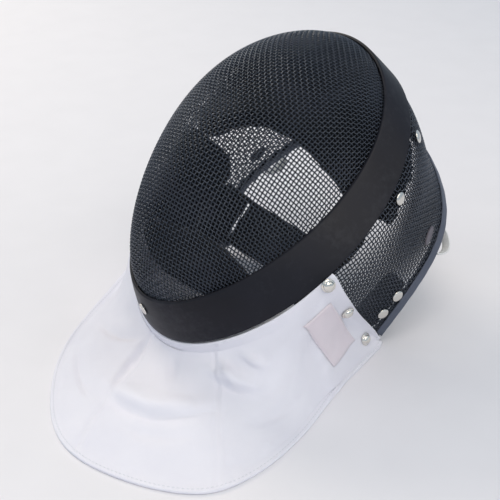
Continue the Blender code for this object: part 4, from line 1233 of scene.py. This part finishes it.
def makeStitches(name, path, normals, sizes, paint, slot):
    # short threads lying along a path, each a small bent tube
    length, gap, radius = sizes
    marks = runningLength(path)
    sides = 6
    turns = np.arange(sides) * math.tau / sides

    def lineAt(lines, at):
        return np.array([np.interp(at, marks, lines[:, k]) for k in range(3)])

    points, faces = [], []
    for start in np.arange(gap, marks[-1] - length, length + gap):
        base = len(points)
        for share, size, rise in stitchProfile:
            at = start + share * length
            centre = lineAt(path, at)
            up = unitRows(lineAt(normals, at))
            sideways = unitRows(np.cross(lineAt(path, at + 1e-4) - centre, up))
            centre = centre + up * radius * rise
            for turn in turns:
                spread = sideways * math.cos(turn) + up * math.sin(turn)
                points.append(tuple(centre + spread * radius * size))
        for ring in range(len(stitchProfile) - 1):
            for k in range(sides):
                a, b = base + ring * sides + k, base + ring * sides + (k + 1) % sides
                faces.append((a, b, b + sides, a + sides))
        faces.append(tuple(base + k for k in reversed(range(sides))))
        faces.append(tuple(len(points) - sides + k for k in range(sides)))
    piece = meshPiece(name, points, faces)
    faceOutwards(piece)
    return finishPiece(piece, paint, slot)


def borderPath(outer, columns, shares, away):
    # a line on the cloth's outer face, a fixed way in from its free edges
    down = runningLength(outer[::-1])[::-1]
    across = runningLength(outer, 1)
    topRow = int(np.searchsorted(shares, hemForm["from"]))
    rows = np.arange(topRow, len(shares))
    left = [(i, indexAt(away, across[i])) for i in rows]
    left = [(i, j) for i, j in left if down[i, int(j)] > away]
    first = int(left[-1][1]) + 1
    hem = [(indexAt(-away, -down[:, j]), j) for j in range(first, len(columns) - first)]
    right = [(i, indexAt(-away, across[i] - across[i, -1])) for i in rows[:0:-1]]
    return np.array(left + hem + [(i, j) for i, j in right if down[i, int(j)] > away])


def sewBib(outer, normals, columns, shares):
    hem = hemForm
    line = borderPath(outer, columns, shares, hem["fold"] - hem["inset"])
    path, up = tableAt(outer, line), tableAt(normals, line)
    path = path + up * hem["stitch"][2] * 0.3
    return makeStitches("hemStitches", path, up, hem["stitch"], "thread", "cloth")


bibCloth, bibMiddleGrid, bibNormals, bibColumns, bibShares, bibOuter = makeBib()
hemStitches = sewBib(bibOuter, bibNormals, bibColumns, bibShares)
print("bib made")


# label and press studs on the tabs
labelForm = {"places": (((7.537, 0.351), (6.312, 0.340), (5.383, 0.209)),
                        ((6.183, 0.576), (5.042, 0.482), (4.163, 0.322)),
                        ((5.361, 0.768), (4.235, 0.705), (3.237, 0.580))),
             "size": (0.062, 0.035), "thick": 0.0006, "lift": 0.0004, "steps": 28,
             "border": 0.07, "seam": 2, "stitch": (0.0016, 0.0009, 0.00022)}


def onBib(row, share, lift):
    spot = np.stack([indexAt(share, bibShares), indexAt(row, bibColumns)], -1)
    point, normal = tableAt(bibOuter, spot), unitRows(tableAt(bibNormals, spot))
    down = unitRows(tableAt(bibOuter, spot + (1.5, 0)) - tableAt(bibOuter, spot - (1.5, 0)))
    return point + normal * lift, normal, down


def makeLabel():                     # laid through three by three places on the tab
    form = labelForm
    steps = np.linspace(0, 1, form["steps"])
    parts = np.stack([2 * (steps - 0.5) * (steps - 1), 4 * steps * (1 - steps),
                      2 * steps * (steps - 0.5)], -1)
    laid = np.einsum("vi,uj,ijk->vuk", parts, parts, np.array(form["places"]))
    point, normal, _ = onBib(laid[..., 0], laid[..., 1], form["lift"])
    fromEdge = np.minimum(steps, 1 - steps)
    edge = (np.minimum(fromEdge[:, None], fromEdge) / form["border"])[..., None]
    bulge = form["lift"] * np.minimum(1.0, edge * 2) * 0.6
    thick = form["thick"] * (0.35 + 0.65 * np.minimum(1.0, edge * 3))
    top, bottom = point + normal * (bulge + thick), point + normal * bulge * 0.5
    high, wide = form["size"]
    down, across = np.meshgrid((steps - 0.5) * high, (steps - 0.5) * wide, indexing="ij")
    uv = np.stack([across, down], -1).reshape(-1, 2)
    points, quads = sheetSolid(top, bottom)
    label = pieceFromArrays("labelPatch", points, quads, np.concatenate([uv, uv]))
    finishPiece(label, "label", "label", "label_patch")
    near, far = form["seam"], form["steps"] - 1 - form["seam"]
    inside = slice(near, far + 1)
    ring = np.concatenate([top[near, inside], top[inside, far], top[far, inside][::-1],
                           top[inside, near][::-1]])
    up = unitRows(np.cross(top[-1, -1] - top[0, 0], top[-1, 0] - top[0, -1]))
    up = up if up[0] > 0 else -up
    ups = np.repeat(up[None], len(ring), axis=0)
    makeStitches("labelStitches", ring + up * 0.0001, ups, form["stitch"], "label", "label")
    print("label about", round(float(np.linalg.norm(top[0, 0] - top[0, -1])), 4), "by",
          round(float(np.linalg.norm(top[0, 0] - top[-1, 0])), 4))
    return label, sheetArea(top)


def makeStuds():
    form = studForm
    model = domedHead("studHead", form)
    shankUnder(model, form["radius"], form["lift"])
    for side, flip in bothSides:
        for number, (row, share) in enumerate(form["places"], start=1):
            row = row if flip > 0 else len(bibRows) - 1 - row
            seat, normal, down = onBib(row, share, form["lift"] * 0.55)
            setPiece(model, "snap_stud_%s_%d" % (side, number), seatMatrix(seat, normal, down),
                     "stud", "rivet")
    bpy.data.objects.remove(model)


labelPiece, labelArea = makeLabel()
makeStuds()
print("label and studs set")


# jaw patches, loops and neck strap
patchForm = {"run": (0.004, 0.112), "reach": (0.62, 0.915), "thick": 0.0012, "rib": 0.00035,
             "ribPitch": 0.0052, "depth": 0.09, "squeeze": (0.10, 0.12)}
loopForm = {"run": (0.190, 0.238), "bulge": 0.0110, "size": (0.0080, 0.0014), "over": 0.2,
            "edgeRound": 0.0006, "stations": 41, "power": 0.7, "turnIn": 0.5}
strapForm = {
    "thick": 0.0024, "low": (0.0489, 0.0218), "high": (0.0729, 0.0622), "droop": 0.065,
    "anchorRuns": (0.020, 0.118), "anchorReaches": (0.74, 0.80, 0.86),
    "slot": ((-0.0955, -0.0850), (-0.0910, -0.0800)),
    "body": (-0.075, -0.050, -0.025, 0.0, 0.020, 0.035),
    "edge": (0.04, 0.95), "bar": (0.08, 0.91), "barSteps": 9, "fine": 7, "bevel": 0.0006,
}


def makePatches():
    form = patchForm
    across, down = np.linspace(-1, 1, 61), np.linspace(-1, 1, 49)
    middle = sum(form["run"]) / 2, sum(form["reach"]) / 2
    half = (form["run"][1] - form["run"][0]) / 2, (form["reach"][1] - form["reach"][0]) / 2
    for side, flip in bothSides:
        sheets = []
        for face in (0, 1):
            rows = []
            for u in across:
                squeeze = 1 - form["squeeze"][0] * np.abs(down) ** 4 * abs(u) ** 2
                narrow = 1 - form["squeeze"][1] * abs(u) ** 4
                run = middle[0] + half[0] * down * narrow
                reach = middle[1] + half[1] * u * squeeze
                rib = form["rib"] * np.cos(reach * form["depth"] / form["ribPitch"] * math.tau)
                under = -shellForm["meshThick"] - shellForm["gap"] - form["rib"] + rib
                lift = under if face == 0 else under - form["thick"]
                rows.append(leanBack(sidePoint(run, reach, lift) * (flip, 1, 1)))
            sheets.append(np.array(rows))
        points, quads = sheetSolid(*sheets)
        patch = pieceFromArrays("jawPatch" + side.capitalize(), points, quads)
        finishPiece(patch, "webbing", "webbing", "jaw_patch_" + side)


def makeLoops():
    form = loopForm
    width, thick = form["size"]
    outer, inner = form["over"] * width, (form["over"] - 1) * width
    outline = roundedProfile([(outer, -thick / 2), (outer, thick / 2), (inner, thick / 2),
                              (inner, -thick / 2)], form["edgeRound"])
    for side, flip in bothSides:
        rings = []
        for share in np.linspace(0, 1, form["stations"]):
            run = form["run"][0] + (form["run"][1] - form["run"][0]) * share
            edge, normal, back = sideFrame(run, 1.0)
            ahead = unitRows(sidePoint(run + 0.004, 1.0)[0] - edge)
            middle = edge - normal * shellForm["meshThick"] / 2
            rise = form["bulge"] * math.sin(share * math.pi) ** form["power"]
            rise += shellForm["gap"] + thick / 2
            slope = math.cos(share * math.pi) * math.pi / 2
            face = unitRows(back - ahead * slope * form["turnIn"])
            rings.append([mirrored(middle + back * rise + normal * w + face * t, flip)
                          for w, t in outline])
        loop = sweptPiece("elasticLoop" + side.capitalize(), leanBack(np.array(rings)))
        finishPiece(loop, "elastic", "elastic", "elastic_loop_" + side)


def makeNeckStrap():
    form = strapForm
    under = -shellForm["meshThick"] - shellForm["gap"] * 2 - patchForm["thick"]
    under -= form["thick"] / 2
    edges = [[leanBack(sidePoint(run, reach, under)[0] * (-1, 1, 1))
              for run in form["anchorRuns"]] for reach in form["anchorReaches"]]
    shift = np.array((0, shellForm["centreY"], 0))
    for xLow, xHigh in form["slot"] + tuple((x, x) for x in form["body"]):
        droop = form["droop"] * (xHigh - form["slot"][0][1])
        edges.append([np.array((xLow, form["low"][0], form["low"][1] - droop)) + shift,
                      np.array((xHigh, form["high"][0], form["high"][1] - droop)) + shift])
    edges = np.array(edges)
    slotAt = len(form["anchorReaches"])
    low, high = form["edge"]
    levels = np.array((0.0, low, *np.linspace(*form["bar"], form["barSteps"]), high, 1.0))
    work = bmesh.new()
    stations = np.concatenate([[0.0]] + [number + np.linspace(0, 1, form["fine"])[1:]
                                         for number in range(len(edges) - 1)])
    rows = []
    for at in stations:
        i = min(int(at), len(edges) - 2)
        low, high = edges[i] + (edges[i + 1] - edges[i]) * (at - i)
        rows.append([work.verts.new(low + (high - low) * level) for level in levels])
    for number, (first, second) in enumerate(zip(rows, rows[1:])):
        slotted = slotAt <= stations[number] < slotAt + 1
        for i in range(len(levels) - 1):
            if slotted and 2 <= i < len(levels) - 3:
                continue
            work.faces.new((first[i], first[i + 1], second[i + 1], second[i]))
    data = bpy.data.meshes.new("neckStrap")
    work.to_mesh(data)
    work.free()
    strap = linkedPiece("neckStrap", data)
    applyModifier(strap, "SOLIDIFY", thickness=form["thick"], offset=0.0)
    applyModifier(strap, "BEVEL", width=form["bevel"], segments=2, limit_method="ANGLE",
                  angle_limit=math.radians(40))
    faceOutwards(strap)
    finishPiece(strap, "webbing", "webbing", "neck_strap")


makePatches()
makeLoops()
makeNeckStrap()
print("patches, loops and strap made")


# padding
padForms = {
    "forehead_pad": {"voxel": 0.0050, "cap": 0.0050, "fill": 0.7},
    "cheek_pad_left": {"voxel": 0.0045, "cap": 0.0045, "fill": 0.7},
    "cheek_pad_right": {"voxel": 0.0045, "cap": 0.0045, "fill": 0.7},
    "chin_pad": {"voxel": 0.0045, "cap": 0.0040, "fill": 0.65},
}
swellForm = {
    "frames": 20, "held": 0.006, "shellMiddle": 0.0052,
    "cover": {"quality": 5, "mass": 0.25, "tension_stiffness": 12, "compression_stiffness": 12,
              "shear_stiffness": 6, "bending_stiffness": 0.4, "use_pressure": True,
              "uniform_pressure_force": 3.0, "vertex_group_mass": "held"},
}


def shellClearance(points):          # how far each point is inside the shell's wall, roughly
    upright = points - np.array((0, shellForm["centreY"], shellForm["rimCentre"]))
    c, s = math.cos(shellForm["lean"]), math.sin(shellForm["lean"])
    x, z = upright[:, 0], upright[:, 1] * s + upright[:, 2] * c
    rim = rimPoint(np.linspace(0, math.tau, 361), 0.5, swellForm["shellMiddle"])
    return np.hypot(x[:, None] - rim[None, :, 0], z[:, None] - rim[None, :, 2]).min(1)


def padPoints(pad):
    return np.array([vertex.co for vertex in pad.data.vertices])


def swellPad(pad, cap):              # a cloth cover filled by pressure, held where it lies
    form = swellForm
    selectOnly(pad)
    group = pad.vertex_groups.new(name="held")
    points = padPoints(pad)
    for index in np.flatnonzero(shellClearance(points) < form["held"]).tolist():
        group.add([index], 1.0, "REPLACE")
    modifier = pad.modifiers.new("cloth", "CLOTH")
    for key, value in form["cover"].items():
        setattr(modifier.settings, key, value)
    modifier.settings.effector_weights.gravity = 0.0
    modifier.collision_settings.use_collision = False
    modifier.collision_settings.use_self_collision = False
    scene = bpy.context.scene
    modifier.point_cache.frame_start, modifier.point_cache.frame_end = 1, form["frames"]
    for number in range(1, form["frames"] + 1):
        scene.frame_set(number)
    bpy.ops.object.modifier_apply(modifier="cloth")
    shift = padPoints(pad) - points
    length = np.linalg.norm(shift, axis=1, keepdims=True)
    shift = shift * np.minimum(1.0, cap / np.maximum(length, 1e-9))
    pad.data.vertices.foreach_set("co", (points + shift).astype(np.float32).ravel())
    pad.data.update()
    scene.frame_set(1)


def makePads():
    for node, form in padForms.items():
        pad = copyPiece(nodes[node], partName(node))
        faceOutwards(pad)
        applyModifier(pad, "REMESH", mode="VOXEL", voxel_size=form["voxel"],
                      use_smooth_shade=True)
        applyModifier(pad, "SMOOTH", factor=0.5, iterations=2)
        swellPad(pad, form["cap"])
        applyModifier(pad, "SUBSURF", levels=1)
        finishPiece(pad, "padding", "padding", node)
        print(pad.name, "padded,", len(pad.data.polygons), "faces")


makePads()


# floor, light and camera
sceneForm = {
    "cameraPlace": (0.5901, -0.4842, 0.5166), "azimuth": 48.98, "elevation": 29.72, "lens": 75.50,
    "sensor": 36.0,
    "floorSize": 60.0, "floorFinish": {"Roughness": 0.75, "Specular IOR Level": 0.3},
    "floor": (0.755, 0.74, 0.765), "floorLift": 1.02, "floorGrain": 60.0,
    "sky": (0.73, 0.86, 1.0), "skyStrength": 0.63, "view": "Standard",
    "lampTarget": (-0.05, -0.10, 0.05), "lampSize": 0.8,
    "lamps": (("keyLight", (-1.70, 0.12, 1.42), 19.5, (1.0, 0.88, 0.72)),
              ("sideLight", (-1.00, -0.95, 1.20), 2.0, (1.0, 0.88, 0.72)),
              ("topLight", (0.52, -0.32, 1.80), 6.5, (1.0, 0.90, 0.78)),
              ("cameraLight", (1.10, -0.60, 1.15), 6.0, (1.0, 0.90, 0.78)),
              ("backLight", (1.10, 0.60, 1.20), 2.5, (1.0, 0.90, 0.78))),
}


def makeStage():
    form = sceneForm
    deselectAll()
    bpy.ops.mesh.primitive_plane_add(size=form["floorSize"], location=(0, 0, 0))
    floor = bpy.context.object
    floor.name = "floor"
    paint, tree, shader, place = startPaint("pale floor", form["floorFinish"])
    grain = groupNode(tree, grainGroup, place.outputs["Object"], Size=form["floorGrain"])
    light = tuple(min(1.0, value * form["floorLift"]) for value in form["floor"])
    tone = mixTones(tree, grain.outputs["Tone"], form["floor"], light)
    tree.links.new(tone, shader.inputs["Base Color"])
    floor.data.materials.append(paint)


def addLight(name, place, energy, colour):
    data = bpy.data.lights.new(name, "AREA")
    data.shape = "RECTANGLE"
    data.size = data.size_y = sceneForm["lampSize"]
    data.energy = energy
    data.color = colour
    turnTo(linkedPiece(name, data), place, Vector(sceneForm["lampTarget"]) - Vector(place))


def turnTo(piece, place, ahead):
    piece.location = place
    piece.rotation_mode = "QUATERNION"
    piece.rotation_quaternion = ahead.to_track_quat("-Z", "Y")


def makeLights():
    for lamp in sceneForm["lamps"]:
        addLight(*lamp)
    world = bpy.data.worlds.new("studio")
    world.use_nodes = True
    back = world.node_tree.nodes["Background"]
    back.inputs["Color"].default_value = (*sceneForm["sky"], 1.0)
    back.inputs["Strength"].default_value = sceneForm["skyStrength"]
    bpy.context.scene.world = world
    bpy.context.scene.view_settings.view_transform = sceneForm["view"]


def makeCamera():
    form = sceneForm
    a, e = math.radians(form["azimuth"]), math.radians(form["elevation"])
    back = Vector((math.sin(a) * math.cos(e), -math.cos(a) * math.cos(e), math.sin(e)))
    data = bpy.data.cameras.new("camera")
    data.lens = form["lens"]
    data.sensor_width = form["sensor"]
    camera = linkedPiece("camera", data)
    turnTo(camera, form["cameraPlace"], -back)
    bpy.context.scene.camera = camera


makeStage()
makeLights()
makeCamera()
print("stage, lights and camera set")
